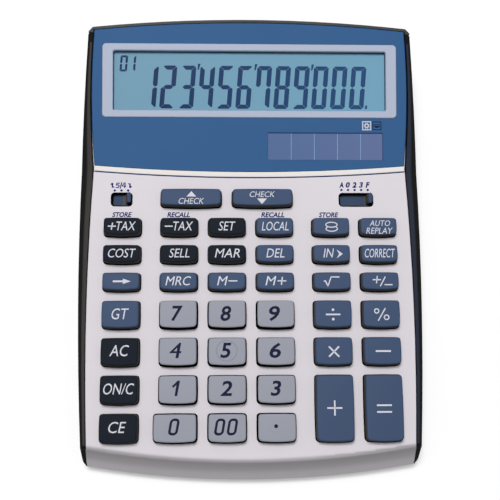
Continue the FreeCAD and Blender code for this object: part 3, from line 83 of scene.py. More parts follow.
low, high = deck_extent("key_7")
print("key 7 in the deck's frame:", tuple(round(v, 2) for v in (*low, *high)))

# %% [markdown]
# A finish is a material made of nodes. To keep the maths readable, a small class wraps one
# output of a node, and Python's own signs add the Math nodes. Every other node comes from
# one method that takes its type, the values of its sockets and its settings. The sky and
# the rows laid out by Geometry Nodes are node trees too, so they share that method.


# %% Wires
class Wire:
    """One output of a node; the signs of arithmetic add Math nodes to it."""

    def __init__(self, maker, socket):
        self.maker = maker
        self.socket = socket

    def maths(self, operation, first, second):
        return self.maker.node("ShaderNodeMath", {0: first, 1: second}, operation=operation)

    def __add__(self, other):
        return self.maths("ADD", self, other)

    __radd__ = __add__

    def __sub__(self, other):
        return self.maths("SUBTRACT", self, other)

    def __rsub__(self, other):
        return self.maths("SUBTRACT", other, self)

    def __mul__(self, other):
        return self.maths("MULTIPLY", self, other)

    __rmul__ = __mul__

    def __gt__(self, other):
        return self.maths("GREATER_THAN", self, other)

    def most(self, other):
        return self.maths("MAXIMUM", self, other)


# %% One method for every other node
class NodeMaker:
    """Fills a node tree."""

    def __init__(self, tree):
        self.tree = tree
        tree.nodes.clear()

    def node(self, kind, inputs=None, output=0, **settings):
        """Add a node: its settings first, then values or wires on its sockets."""
        made = self.tree.nodes.new(kind)
        for name, setting in settings.items():
            if name == "stops":
                ramp = made.color_ramp
                while len(ramp.elements) < len(setting):
                    ramp.elements.new(0.5)
                for element, (place, tone) in zip(ramp.elements, setting):
                    element.position = place
                    element.color = tone
            else:
                setattr(made, name, setting)
        for name, given in (inputs or {}).items():
            socket = made.inputs[name]
            if isinstance(given, Wire):
                self.tree.links.new(given.socket, socket)
            else:
                socket.default_value = given
        return Wire(self, made.outputs[output]) if len(made.outputs) else None


# %% [markdown]
# A surface is never one flat colour, so the nodes that bring variation get short names
# here. All of them read the place of a point on its piece, in metres, so a pattern stays
# where it is when a key is pressed. Colours are picked on a screen, and shaders want them
# linear, so one function converts them.


# %% Finishes
class Finish(NodeMaker):
    """A material, or the sky, under construction."""

    def __init__(self, name, kind="materials"):
        self.material = getattr(bpy.data, kind).new(name)
        self.material.use_nodes = True
        super().__init__(self.material.node_tree)

    def place(self):
        """Where a point is, in metres; every piece has its place in its mesh."""
        return self.node("ShaderNodeTexCoord", output="Object")

    def along(self, axis):
        """One coordinate of that place: 0 to the right, 1 to the rear, 2 up."""
        return self.node("ShaderNodeSeparateXYZ", {"Vector": self.place()}, axis)

    def across(self, left, right):
        """0 at the left one and 1 at the right one of two places, in millimetres."""
        return (self.along(0) - left * MM) * (1 / ((right - left) * MM))

    def noise(self, size, detail=2.0, place=None):
        """Soft noise between 0 and 1 whose blotches are about size metres wide."""
        inputs = {"Scale": 1 / size, "Detail": detail, "Roughness": 0.6}
        return self.node("ShaderNodeTexNoise", {"Vector": place or self.place(), **inputs})

    def blend(self, factor, first, second):
        """A colour between two colours."""
        inputs = {0: factor, 6: first, 7: second}
        return self.node("ShaderNodeMix", inputs, 2, data_type="RGBA")

    def backdrop_rays(self):
        """1 for a ray that shows the backdrop: to the camera, off gloss or through glass."""
        direct, gloss, glass = (self.node("ShaderNodeLightPath", output=f"Is {ray} Ray")
                                for ray in ("Camera", "Glossy", "Transmission"))
        return direct.most(gloss).most(glass)

    def bump(self, height, strength, distance):
        inputs = {"Height": height, "Strength": strength, "Distance": distance}
        return self.node("ShaderNodeBump", inputs)

    def surface(self, **sockets):
        """End the tree with a Principled shader; Base_Color stands for Base Color."""
        inputs = {name.replace("_", " "): given for name, given in sockets.items()}
        shader = self.node("ShaderNodeBsdfPrincipled", inputs)
        self.node("ShaderNodeOutputMaterial", {"Surface": shader})
        print("finish:", self.material.name)
        return self.material


# %% Colours
def colour(red, green, blue, scale=1.0):
    """A colour picked on a screen (0 to 255), made linear and then darker or lighter."""
    linear = []
    for level in (red, green, blue):
        level = level / 255
        level = level / 12.92 if level <= 0.04045 else ((level + 0.055) / 1.055) ** 2.4
        linear.append(min(level * scale, 1.0))
    return (*linear, 1.0)


print("half of a screen's range, made linear:", round(colour(128, 128, 128)[0], 3))

# %% [markdown]
# Nearly every part is moulded plastic. What tells one plastic from another is its colour,
# how far its sheen spreads, and the fine spark-eroded grain that the mould leaves. One
# function makes them all: two sizes of noise vary the colour a little, the finer one also
# gives the grain as a bump, and handling leaves slightly smoother patches where fingers go.
#
# The silver lip turns down behind a crease that bows forward in the middle. In a real room
# it falls into shade. A soft lamp alone gives too little of that, so a ramp over the height
# under the crease darkens the paint there.

# %% Moulded plastic
CREASE_ARC = 700.0
CREASE_RISE = math.tan(DECK_TILT) / (CREASE_ARC * MM)
RAMP_HEIGHT = 15.0


def moulded_plastic(name, tone, roughness, grain, relief=0.25, speckle=0.04, shine=0.1,
                    shade=None):
    """A plastic or its paint; shade lists heights in mm with how light the paint is."""
    finish = Finish(name)
    fine = finish.noise(grain, 3.0)
    cloud = finish.noise(0.012)
    mottle = (fine - 0.5) * (2 * speckle) + (cloud - 0.5) * speckle + 0.5
    paint = finish.blend(mottle, colour(*tone, 0.8), colour(*tone, 1.2))
    if shade:
        side = finish.along(0)
        level = finish.along(2) - side * side * CREASE_RISE
        stops = [(height / RAMP_HEIGHT, (light, light, light, 1)) for height, light in shade]
        depth = finish.node("ShaderNodeValToRGB", {"Fac": level * (1 / (RAMP_HEIGHT * MM))},
                            stops=stops)
        paint = finish.blend(depth, colour(*tone, 0.45), paint)
    touched = finish.noise(0.025, 1.0)
    return finish.surface(
        Base_Color=paint,
        Roughness=(touched - 0.5) * 0.1 + roughness,
        Specular_IOR_Level=shine,
        Normal=finish.bump(fine, relief, 0.00004),
    )


print("crease at the rails:", round(60**2 / CREASE_ARC, 2), "mm behind its middle")

# %% [markdown]
# The real object has about a dozen plastics and paints. Each gets one line here: the colour
# measured on a plain patch of it, its roughness, the width of its grain, and where needed
# the depth of the grain, the strength of the mottling and the shine.

# %% Plastics and paints
LIP_SHADE = ((5.0, 0.9), (7.5, 0.82), (9.8, 0.45), (13.0, 0.2), (13.85, 0.45), (14.0, 0.8),
             (14.08, 1.0))
# The crown tones are painted highlights: the light on the rails' flat tops, warmer on the left.
CROWN_HIGHLIGHT_TONES = {"left_edge": (48, 46, 46), "left_middle": (64, 61, 60),
               "right_edge": (36, 39, 47), "right_middle": (45, 50, 63)}

SILVER = moulded_plastic("silver_paint", (219, 214, 220), 0.65, 0.00025, 0.3, 0.05,
                         shade=LIP_SHADE)
BLACK_CASE = moulded_plastic("black_case_plastic", (36, 36, 38), 0.55, 0.0003, 0.5, 0.1, 0.3)
BLACK_RAIL = moulded_plastic("black_rail_plastic", (21, 20, 20), 0.6, 0.0002, 0.25, 0.08, 0.04)
PANEL_BLUE = moulded_plastic("blue_panel_paint", (49, 91, 138), 0.55, 0.0003, 0.25, 0.09)
FRAME_PAINT = moulded_plastic("lavender_frame_paint", (176, 184, 204), 0.55, 0.00025)
CREAM = moulded_plastic("cream_plastic", (230, 226, 223), 0.5, 0.0003, 0.15, 0.03)
BLACK_KEY = moulded_plastic("black_key_paint", (30, 35, 44), 0.6, 0.0002, 0.3, 0.1, 0.03)
GREY_KEY = moulded_plastic("grey_key_paint", (152, 155, 166), 0.55, 0.0002, 0.3, 0.06)
SLATE_KEY = moulded_plastic("slate_key_paint", (63, 80, 109), 0.55, 0.0002, 0.3, 0.09)
# Painted highlights for the rails' crowns.
CROWN_HIGHLIGHTS = [moulded_plastic(f"rail_crown_highlight_{name}", tone, 0.6, 0.0002, 0.25, 0.1, 0.03)
          for name, tone in CROWN_HIGHLIGHT_TONES.items()]
# Painted light and shade: a warm grey that stands in for the light on the upper walls of the
# black and slate keys, and for the shade beside the switch grips.
WALL_LIGHT_AND_SHADE = moulded_plastic("painted_light_and_shade_wall", (88, 85, 82), 0.6, 0.0002, 0.3, 0.08, 0.0)
# Black painted shade: the lower walls of the keys, the whole walls of the grey keys, the slot
# walls and the sides of the switch grips, where shade falls near the deck; also the hidden
# flanges and plungers.
PAINTED_SHADE_BLACK = moulded_plastic("black_painted_shade", (12, 12, 14), 0.7, 0.0002, 0.3, 0.08, 0.0)
KNOB = moulded_plastic("switch_plastic", (60, 73, 100), 0.6, 0.0002, 0.2, 0.06)
SLIDE = moulded_plastic("slide_plastic", (58, 74, 98), 0.6, 0.0002, 0.2, 0.06, 0.05)
MAT_RUBBER = moulded_plastic("mat_silicone", (190, 190, 184), 0.6, 0.0004, 0.2)
FOOT_RUBBER = moulded_plastic("foot_rubber", (52, 52, 55), 0.75, 0.0005, 0.7, 0.15)
RIBBON = moulded_plastic("ribbon_film", (176, 118, 58), 0.3, 0.0006, 0.05, 0.05)

# %% [markdown]
# The printed marks are a thin ink with hardly any gloss, a little worn. The display's
# segments are dark but blue, because light passes the liquid crystal twice before it comes
# back, and they get lighter to the right. Dark foils and fine light lines of the display
# and the solar cell are drawn with inks of their own. Some dark inks are painted shade: round
# the display window, along the rear edge of the solar cell as a painted shadow, and in the
# gaps round the trim strip.


# %% Inks
def ink(name, tone, roughness=0.55, right=None):
    """Printed ink, which may turn into a second colour towards the right."""
    finish = Finish(name)
    film = finish.blend(finish.noise(0.0006, 3.0), colour(*tone), colour(*tone, 0.85))
    if right:
        film = finish.blend(finish.across(-40, 40), film, colour(*right))
    return finish.surface(Base_Color=film, Roughness=roughness, Specular_IOR_Level=0.05)


PALE_INK = ink("pale_key_ink", (219, 219, 228))
NAVY_INK = ink("navy_key_ink", (26, 30, 58))
# The deck's navy ink also paints the shade in the groove in front of the trim strip, and the dark
# panel ink the shade in the gap behind it.
DECK_INK_AND_GROOVE_SHADE = ink("navy_deck_ink_and_groove_shade", (16, 26, 100))
PANEL_INK_AND_GAP_SHADE = ink("dark_panel_ink_and_gap_shade", (22, 40, 70))
SEGMENT = ink("display_segment", (34, 56, 98), 0.6, (46, 78, 120))
# The gasket's dark, also used as painted shade on the window's inner wall.
GASKET_AND_WALL_SHADE = ink("dark_gasket_and_wall_shade", (24, 44, 72), 0.6)
CELL_LINE = ink("solar_cell_line", (150, 196, 236), 0.4)
# A painted shadow along the rear edge of the solar cell.
CELL_EDGE_SHADOW = ink("solar_cell_edge_shadow", (44, 60, 92), 0.4)

# %% [markdown]
# The window is clear acrylic, so it needs no colour: a low alpha leaves only its
# reflections. The display behind it is glass over a grey-blue reflector, whose faint
# sparkle comes from very fine noise and which is bluer to the right. The solar cell is dark
# blue glass that turns violet towards its right end, with a slow drift in between.

# %% Glass, display and solar cell
clear = Finish("clear_window")
CLEAR = clear.surface(
    Base_Color=colour(20, 26, 34),
    Roughness=clear.noise(0.004, 4.0) * 0.05 + 0.08,
    Alpha=0.05,
    Specular_IOR_Level=0.1,
)

display = Finish("display_glass")
reflector = display.blend(display.across(-125, 125), colour(107, 149, 170),
                          colour(118, 172, 202))
reflector = display.blend(display.noise(0.0003) * 0.25, reflector, colour(140, 180, 200))
DISPLAY = display.surface(Base_Color=reflector, Roughness=0.5, Specular_IOR_Level=0.1)

solar = Finish("solar_cell_glass")
drift = (solar.noise(0.02, 1.0) - 0.5) * 0.4
silicon = solar.blend(solar.across(7.05, 51.1) + drift, colour(58, 94, 140),
                      colour(86, 106, 148))
silicon = solar.blend(solar.noise(0.0004) * 0.35, silicon, colour(108, 112, 156))
SOLAR = solar.surface(Base_Color=silicon, Roughness=0.4, Specular_IOR_Level=0.15)

# %% [markdown]
# Inside the case are a green board with copper tracks under its lacquer, and a few pieces
# of sheet metal. Drawing every track would be wasted on a part that nobody sees, so a
# distorted wave pattern, cut off at one level, stands for them. The sheet metal is brushed
# from side to side, which noise gives once it is squeezed along the other axis.

# %% Board and metals
TRACK_LEVEL = 0.62

board = Finish("board_laminate")
wave = {"Vector": board.place(), "Scale": 120.0, "Distortion": 6.0, "Detail": 1.0}
tracks = board.node("ShaderNodeTexWave", wave, 1, bands_direction="X") > TRACK_LEVEL
BOARD = board.surface(
    Base_Color=board.blend(tracks * 0.6, colour(36, 84, 52), colour(70, 120, 66)),
    Roughness=0.35,
    Normal=board.bump(tracks, 0.3, 0.00003),
)


def sheet_metal(name, tone, roughness):
    finish = Finish(name)
    squeezed = finish.node("ShaderNodeMapping", {0: finish.place(), "Scale": (1, 18, 1)})
    brushed = finish.noise(0.0015, 3.0, squeezed)
    return finish.surface(
        Base_Color=finish.blend(brushed, colour(*tone), colour(*tone, 0.75)),
        Roughness=brushed * 0.2 + roughness,
        Metallic=1.0,
        Normal=finish.bump(brushed, 0.1, 0.00002),
    )


STEEL = sheet_metal("plated_steel", (188, 186, 180), 0.25)
SPRING = sheet_metal("spring_steel", (172, 164, 150), 0.3)

# %% [markdown]
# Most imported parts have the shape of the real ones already. Moulding them again would add
# nothing, so they keep their mesh and only get their finish.

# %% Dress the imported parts
FINISH_OF = {
    "upper_case": SILVER,
    "lower_case": BLACK_CASE,
    "side_rails": BLACK_RAIL,
    "display_panel": PANEL_BLUE,
    "display_frame": FRAME_PAINT,
    "display_lens": CLEAR,
    "lcd_module": DISPLAY,
    "solar_cell": SOLAR,
    "trim_strip": CREAM,
    "key_mat": MAT_RUBBER,
    "circuit_board": BOARD,
    "lcd_ribbon": RIBBON,
    "button_cell": STEEL,
    "battery_clip": SPRING,
    "case_screws": STEEL,
    "rubber_feet": FOOT_RUBBER,
}
for node, finish in FINISH_OF.items():
    nodes[node].data.materials.clear()
    nodes[node].data.materials.append(finish)
print("dressed parts:", len(FINISH_OF))

# %% [markdown]
# Prints, rims and gaskets are thin bodies with a flat outline. They could be planes, but a
# plane has no inside and shows no edge, so each outline becomes a closed slab: a top, a
# foot, and a wall along every edge that only one face has. These helpers draw the usual
# outlines.


# %% Outlines
def rectangle(left, right, low, high):
    return [(left, low), (right, low), (right, high), (left, high)]


def rounded_loop(x, y, half_w, half_d, front, rear=None, steps=6):
    """Points round a rectangle with round corners, whose front and rear may differ."""
    loop = []
    for quarter, (sx, sy) in enumerate(((1, -1), (1, 1), (-1, 1), (-1, -1))):
        radius = front if rear is None or sy < 0 else rear
        for step in range(steps + 1):
            angle = math.radians(90 * (quarter - 1) + 90 * step / steps)
            loop.append((x + sx * (half_w - radius) + radius * math.cos(angle),
                         y + sy * (half_d - radius) + radius * math.sin(angle)))
    return loop


def arc(x, y, rx, ry, start=0, turn=360, steps=24):
    """Points on an ellipse, or on a part of it from end to end."""
    angles = [math.radians(start + turn * i / steps) for i in range(steps + (turn < 360))]
    return [(x + rx * math.cos(a), y + ry * math.sin(a)) for a in angles]


def stroke_corners(x0, y0, x1, y1, thick):
    """Corners of a straight stroke between two points."""
    half = thick / 2 / math.hypot(x1 - x0, y1 - y0)
    nx, ny = (y0 - y1) * half, (x1 - x0) * half
    return [(x0 - nx, y0 - ny), (x1 - nx, y1 - ny), (x1 + nx, y1 + ny), (x0 + nx, y0 + ny)]


print("points round a rounded outline:", len(rounded_loop(0, 0, 5, 5, 1)))

# %% Slabs and bands
FILM = 0.03


def add_slab(mesh, outline, faces, place, height, slot=0, depth=FILM):
    """Add flat faces to a mesh as a closed slab whose top is at this height."""
    edges = [edge for face in faces for edge in zip(face, face[1:] + face[:1])]
    inside = set(edges)
    top, foot = ([mesh.verts.new(place @ Vector((x, y, z))) for x, y in outline]
                 for z in (height, height - depth))
    made = [[top[i] for i in face] for face in faces]
    made += [[foot[i] for i in reversed(face)] for face in faces]
    made += [[top[a], foot[a], foot[b], top[b]] for a, b in edges if (b, a) not in inside]
    for corners in made:
        mesh.faces.new(corners).material_index = slot


def add_shape(mesh, corners, place, height, slot=0, depth=FILM):
    """Add one flat shape given by its corners."""
    add_slab(mesh, corners, [tuple(range(len(corners)))], place, height, slot, depth)


def add_band(mesh, outer, inner, place, height, slot=0, depth=FILM, closed=True):
    """Add the band between two outlines with as many points."""
    count = len(outer)
    faces = [(i, (i + 1) % count, count + (i + 1) % count, count + i)
             for i in range(count if closed else count - 1)]
    add_slab(mesh, outer + inner, faces, place, height, slot, depth)


def add_ring(mesh, x, y, rx, ry, width, place, height, slot=0, start=0, turn=360, steps=40):
    """Add an elliptical line, whole or in part."""
    outer, inner = (arc(x, y, rx + grow, ry + grow, start, turn, steps)
                    for grow in (width / 2, -width / 2))
    add_band(mesh, outer, inner, place, height, slot, closed=turn >= 360)


# %% [markdown]
# Caps, mouldings and grips have a shape that changes along one way. They are lofted: a row
# of rings, each a little different from the one before, joined by faces and closed by a lid
# at both ends. Every finished mesh then becomes a piece that rides on one body, so that it
# moves with its key or stays with the case.


# %% Lofts
def loft(mesh, rings, place, slot_of=lambda level, i: 0, lids=True):
    """Join rings of points by faces. Without lids, the last ring joins the first."""
    rings = [[mesh.verts.new(place @ Vector(point)) for point in ring] for ring in rings]
    following = rings[1:] if lids else rings[1:] + rings[:1]
    for level, (lower, upper) in enumerate(zip(rings, following)):
        for i in range(len(lower)):
            j = (i + 1) % len(lower)
            side = mesh.faces.new((lower[i], lower[j], upper[j], upper[i]))
            side.material_index = slot_of(level, i)
    for lid in (rings[-1], rings[0][::-1]) if lids else ():
        mesh.faces.new(lid).material_index = slot_of(len(rings), 0)


# %% Pieces
def in_scene(name, data):
    """A new object at the origin."""
    made = bpy.data.objects.new(name, data)
    bpy.context.scene.collection.objects.link(made)
    return made


def piece_from(mesh, name, body, *finishes, smooth=None):
    """Turn a mesh under construction into a piece that rides on a body."""
    bmesh.ops.recalc_face_normals(mesh, faces=mesh.faces)
    data = bpy.data.meshes.new(name)
    mesh.to_mesh(data)
    mesh.free()
    for finish in finishes:
        data.materials.append(finish)
    if smooth is not None:
        data.shade_smooth()
        data.set_sharp_from_angle(angle=math.radians(smooth))
    piece = in_scene(name, data)
    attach(piece, body)
    print("piece:", name, len(data.polygons), "faces")
    return piece


# %% [markdown]
# Printed characters start as text objects, because Blender's built-in typeface is a plain
# sans serif like the real legends. A shear makes them italic. Each word is then scaled to
# the width and height that its print has on the key, given a hair of thickness so that it
# is a closed body, and laid on its surface.

# %% Words from the typeface
SLANT = 0.22


def settled(holder):
    """The plain mesh that an object with text or a tree comes to; the object goes."""
    bpy.context.view_layer.update()
    graph = bpy.context.evaluated_depsgraph_get()
    data = bpy.data.meshes.new_from_object(holder.evaluated_get(graph))
    bpy.data.objects.remove(holder)
    return data


def flat_word(word, slant, weight):
    """Points and triangles of a word, joined where they meet, so that walls close."""
    curve = bpy.data.curves.new("word", "FONT")
    curve.body = word
    curve.shear = slant
    curve.offset = weight
    curve.resolution_u = 3
    data = settled(in_scene("word", curve))
    index, points, where = {}, [], []
    for vertex in data.vertices:
        x, y = vertex.co[:2]
        key = (round(x, 5), round(y, 5))
        if key not in index:
            index[key] = len(points)
            points.append((x, y))
        where.append(index[key])
    faces = [tuple(where[i] for i in p.vertices) for p in data.polygons]
    bpy.data.meshes.remove(data)
    bpy.data.curves.remove(curve)
    return points, [face for face in faces if len(set(face)) == len(face)]


print("points of the letter M:", len(flat_word("M", SLANT, 0.0)[0]))


# %% Words on a surface
def fitted(points, middle, size):
    """The same points, moved and scaled to fill a box of this middle and size."""
    columns = []
    for axis in (0, 1):
        values = [p[axis] for p in points]
        low, span = min(values), max(max(values) - min(values), 1e-9)
        columns.append([middle[axis] + ((v - low) / span - 0.5) * size[axis] for v in values])
    return list(zip(*columns))


def add_word(mesh, word, middle, size, place, height, slot=0, slant=SLANT, weight=0.0):
    """Print a word. M and 4 would close up if widened, so they are struck twice instead."""
    twice = weight > 0 and bool(set(word) & set("M4"))
    points, faces = flat_word(word, slant, 0.0 if twice else weight)
    shift = weight * size[1] if twice else 0.0
    for move in (-shift, shift) if twice else (0.0,):
        shaped = fitted(points, (middle[0] + move, middle[1]), (size[0] - 2 * shift, size[1]))
        add_slab(mesh, shaped, faces, place, height + move * 0.02, slot)


# %% [markdown]
# A real key cap is moulded: its walls lean in by a few degrees so that it leaves the mould,
# its corners are round, and the edge of its top is softly rolled. Front and rear edges bow
# out a little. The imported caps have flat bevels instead. A Bevel modifier could soften
# these, but it can't bow an edge, so each key gets a finer cap here, lofted from rounded
# outlines that grow a little smaller towards the top.

# %% Outline and profile of a cap
KEY_RISE = 4.3
KEY_DRAFT = math.tan(math.radians(6))
FLANGE_TOP = -2.3
SKIRT_TOP = 1.5
TOP_ROLL = 0.55
FRONT_ROUND, REAR_ROUND = 1.4, 1.1
FRONT_BOW, REAR_BOW, SIDE_BOW = 0.45, 0.12, 0.15


def rounded_outline(width, depth, inset):
    """Points round a cap, drawn in by inset: round corners, and edges that bow out."""
    half_w, half_d = width / 2 - inset, depth / 2 - inset
    radii = [max(radius - 0.4 * inset, 0.5) for radius in (FRONT_ROUND, REAR_ROUND)]
    points = rounded_loop(0, 0, half_w, half_d, *radii)
    shaped = []
    for (ax, ay), (bx, by) in zip(points, points[1:] + points[:1]):
        pieces = 8 if math.hypot(bx - ax, by - ay) > 2 else 1
        for i in range(pieces):
            x, y = ax + (bx - ax) * i / pieces, ay + (by - ay) * i / pieces
            across, along = x / half_w, y / half_d
            fall = (FRONT_BOW if y < 0 else REAR_BOW) * across**2 * along
            shaped.append((x - SIDE_BOW * along**2 * across, y - fall))
    return shaped


def cap_profile():
    """Heights of the outlines and how far each lies inside the cap at the deck."""
    roll_foot = KEY_RISE - TOP_ROLL
    levels = [(FLANGE_TOP, 0.0), (0.0, 0.0), (SKIRT_TOP, 0.0), (roll_foot, 0.0)]
    for step in range(1, 6):
        angle = math.radians(90 * step / 5)
        levels.append((roll_foot + TOP_ROLL * math.sin(angle), TOP_ROLL * (1 - math.cos(angle))))
    return [(z, inset + max(z, 0.0) * KEY_DRAFT) for z, inset in levels]


print("outlines in a cap:", len(cap_profile()))

# %% Build a cap
# The skirt levels take black painted shade, the wall and the foot of the roll take the painted
# light and shade of the walls, and the rest of the roll and the top take the key's own paint.
LEVEL_SLOTS = (3, 3, 2, 2, 0)  # skirt, skirt, wall, wall, then paint
caps = {}


def build_cap(name, finish, legend_ink, marks):
    """A key cap with its flange, plunger and legend as one piece."""
    low, high = deck_extent(name, above=KEY_RISE - 0.6)
    foot_low, foot_high = deck_extent(name)
    middle = (low + high) / 2
    middle.z = 0
    lean = KEY_DRAFT * (KEY_RISE - 0.45)
    width, depth = high.x - low.x + 2 * lean, high.y - low.y + 2 * lean
    caps[name] = (middle, width, depth)
    place = DECK @ Matrix.Translation(middle)
    mesh = bmesh.new()
    rings = [[(x, y, z) for x, y in rounded_outline(width, depth, inset)]
             for z, inset in cap_profile()]
    loft(mesh, rings, place, lambda level, i: LEVEL_SLOTS[min(level, 4)])
    half_w = (foot_high.x - foot_low.x) / 2
    for half_x, half_y, top, thick in ((half_w, depth / 2 + 0.1, FLANGE_TOP + 0.001, 0.801),
                                       (1.8, 1.8, FLANGE_TOP - 0.79, 0.51)):
        add_shape(mesh, rectangle(-half_x, half_x, -half_y, half_y), place, top, 3, thick)
    for mark in marks:
        mark(mesh, place)
    # Grey keys get black painted shade on their whole wall; the other keys get the warm grey
    # painted light on the upper wall over the black painted shade of the skirt.
    wall_light_and_shade = PAINTED_SHADE_BLACK if finish is GREY_KEY else WALL_LIGHT_AND_SHADE
    finishes = (finish, legend_ink, wall_light_and_shade, PAINTED_SHADE_BLACK)
    piece = piece_from(mesh, f"{name}_cap", name, *finishes, smooth=40)
    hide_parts(name)


# %% [markdown]
# The legends are plain function words, digits and signs, as on any desktop calculator. A
# typeface gives the words and digits. It has no sign that looks like the printed ones, so
# signs, arrows and triangles are drawn from their corners. Each mark is a small function
# that waits until its key is built and then draws itself there.

# %% Marks on a key
TOP = KEY_RISE + 0.015


def word(text, dx, dy, width, height, slant=SLANT, weight=0.0):
    def draw(mesh, place):
        add_word(mesh, text, (dx, dy), (width, height), place, TOP, 1, slant, weight)
    return draw


def digit(*given):
    return word(*given, 0.16, 0.022)


def shape(*corners):
    def draw(mesh, place):
        add_shape(mesh, corners, place, TOP, 1)
    return draw


def bar(x, y, width, height):
    return shape(*rectangle(x - width / 2, x + width / 2, y - height / 2, y + height / 2))


def stroke(*given):
    return shape(*stroke_corners(*given))


def dot(x, y, radius):
    return shape(*arc(x, y, radius, radius))


def ring(x, y, rx, ry, width, start=0, turn=360):
    def draw(mesh, place):
        add_ring(mesh, x, y, rx, ry, width, place, TOP, 1, start, turn)
    return draw


def zero(x, y):
    """A nought with straight sides, which a typeface's round one isn't."""
    loops = [[(x + px + 0.17 * py, y + py)
              for px, py in rounded_loop(0, 0, 1.75 - inset, 3.0 - inset, 1.5 - inset)]
             for inset in (0.0, 0.9)]

    def draw(mesh, place):
        add_band(mesh, *loops, place, TOP, 1)
    return draw


# %% [markdown]
# Each key is one line of a table: its paint and ink, then its marks with their offset from
# the middle of the key and their printed size in millimetres.

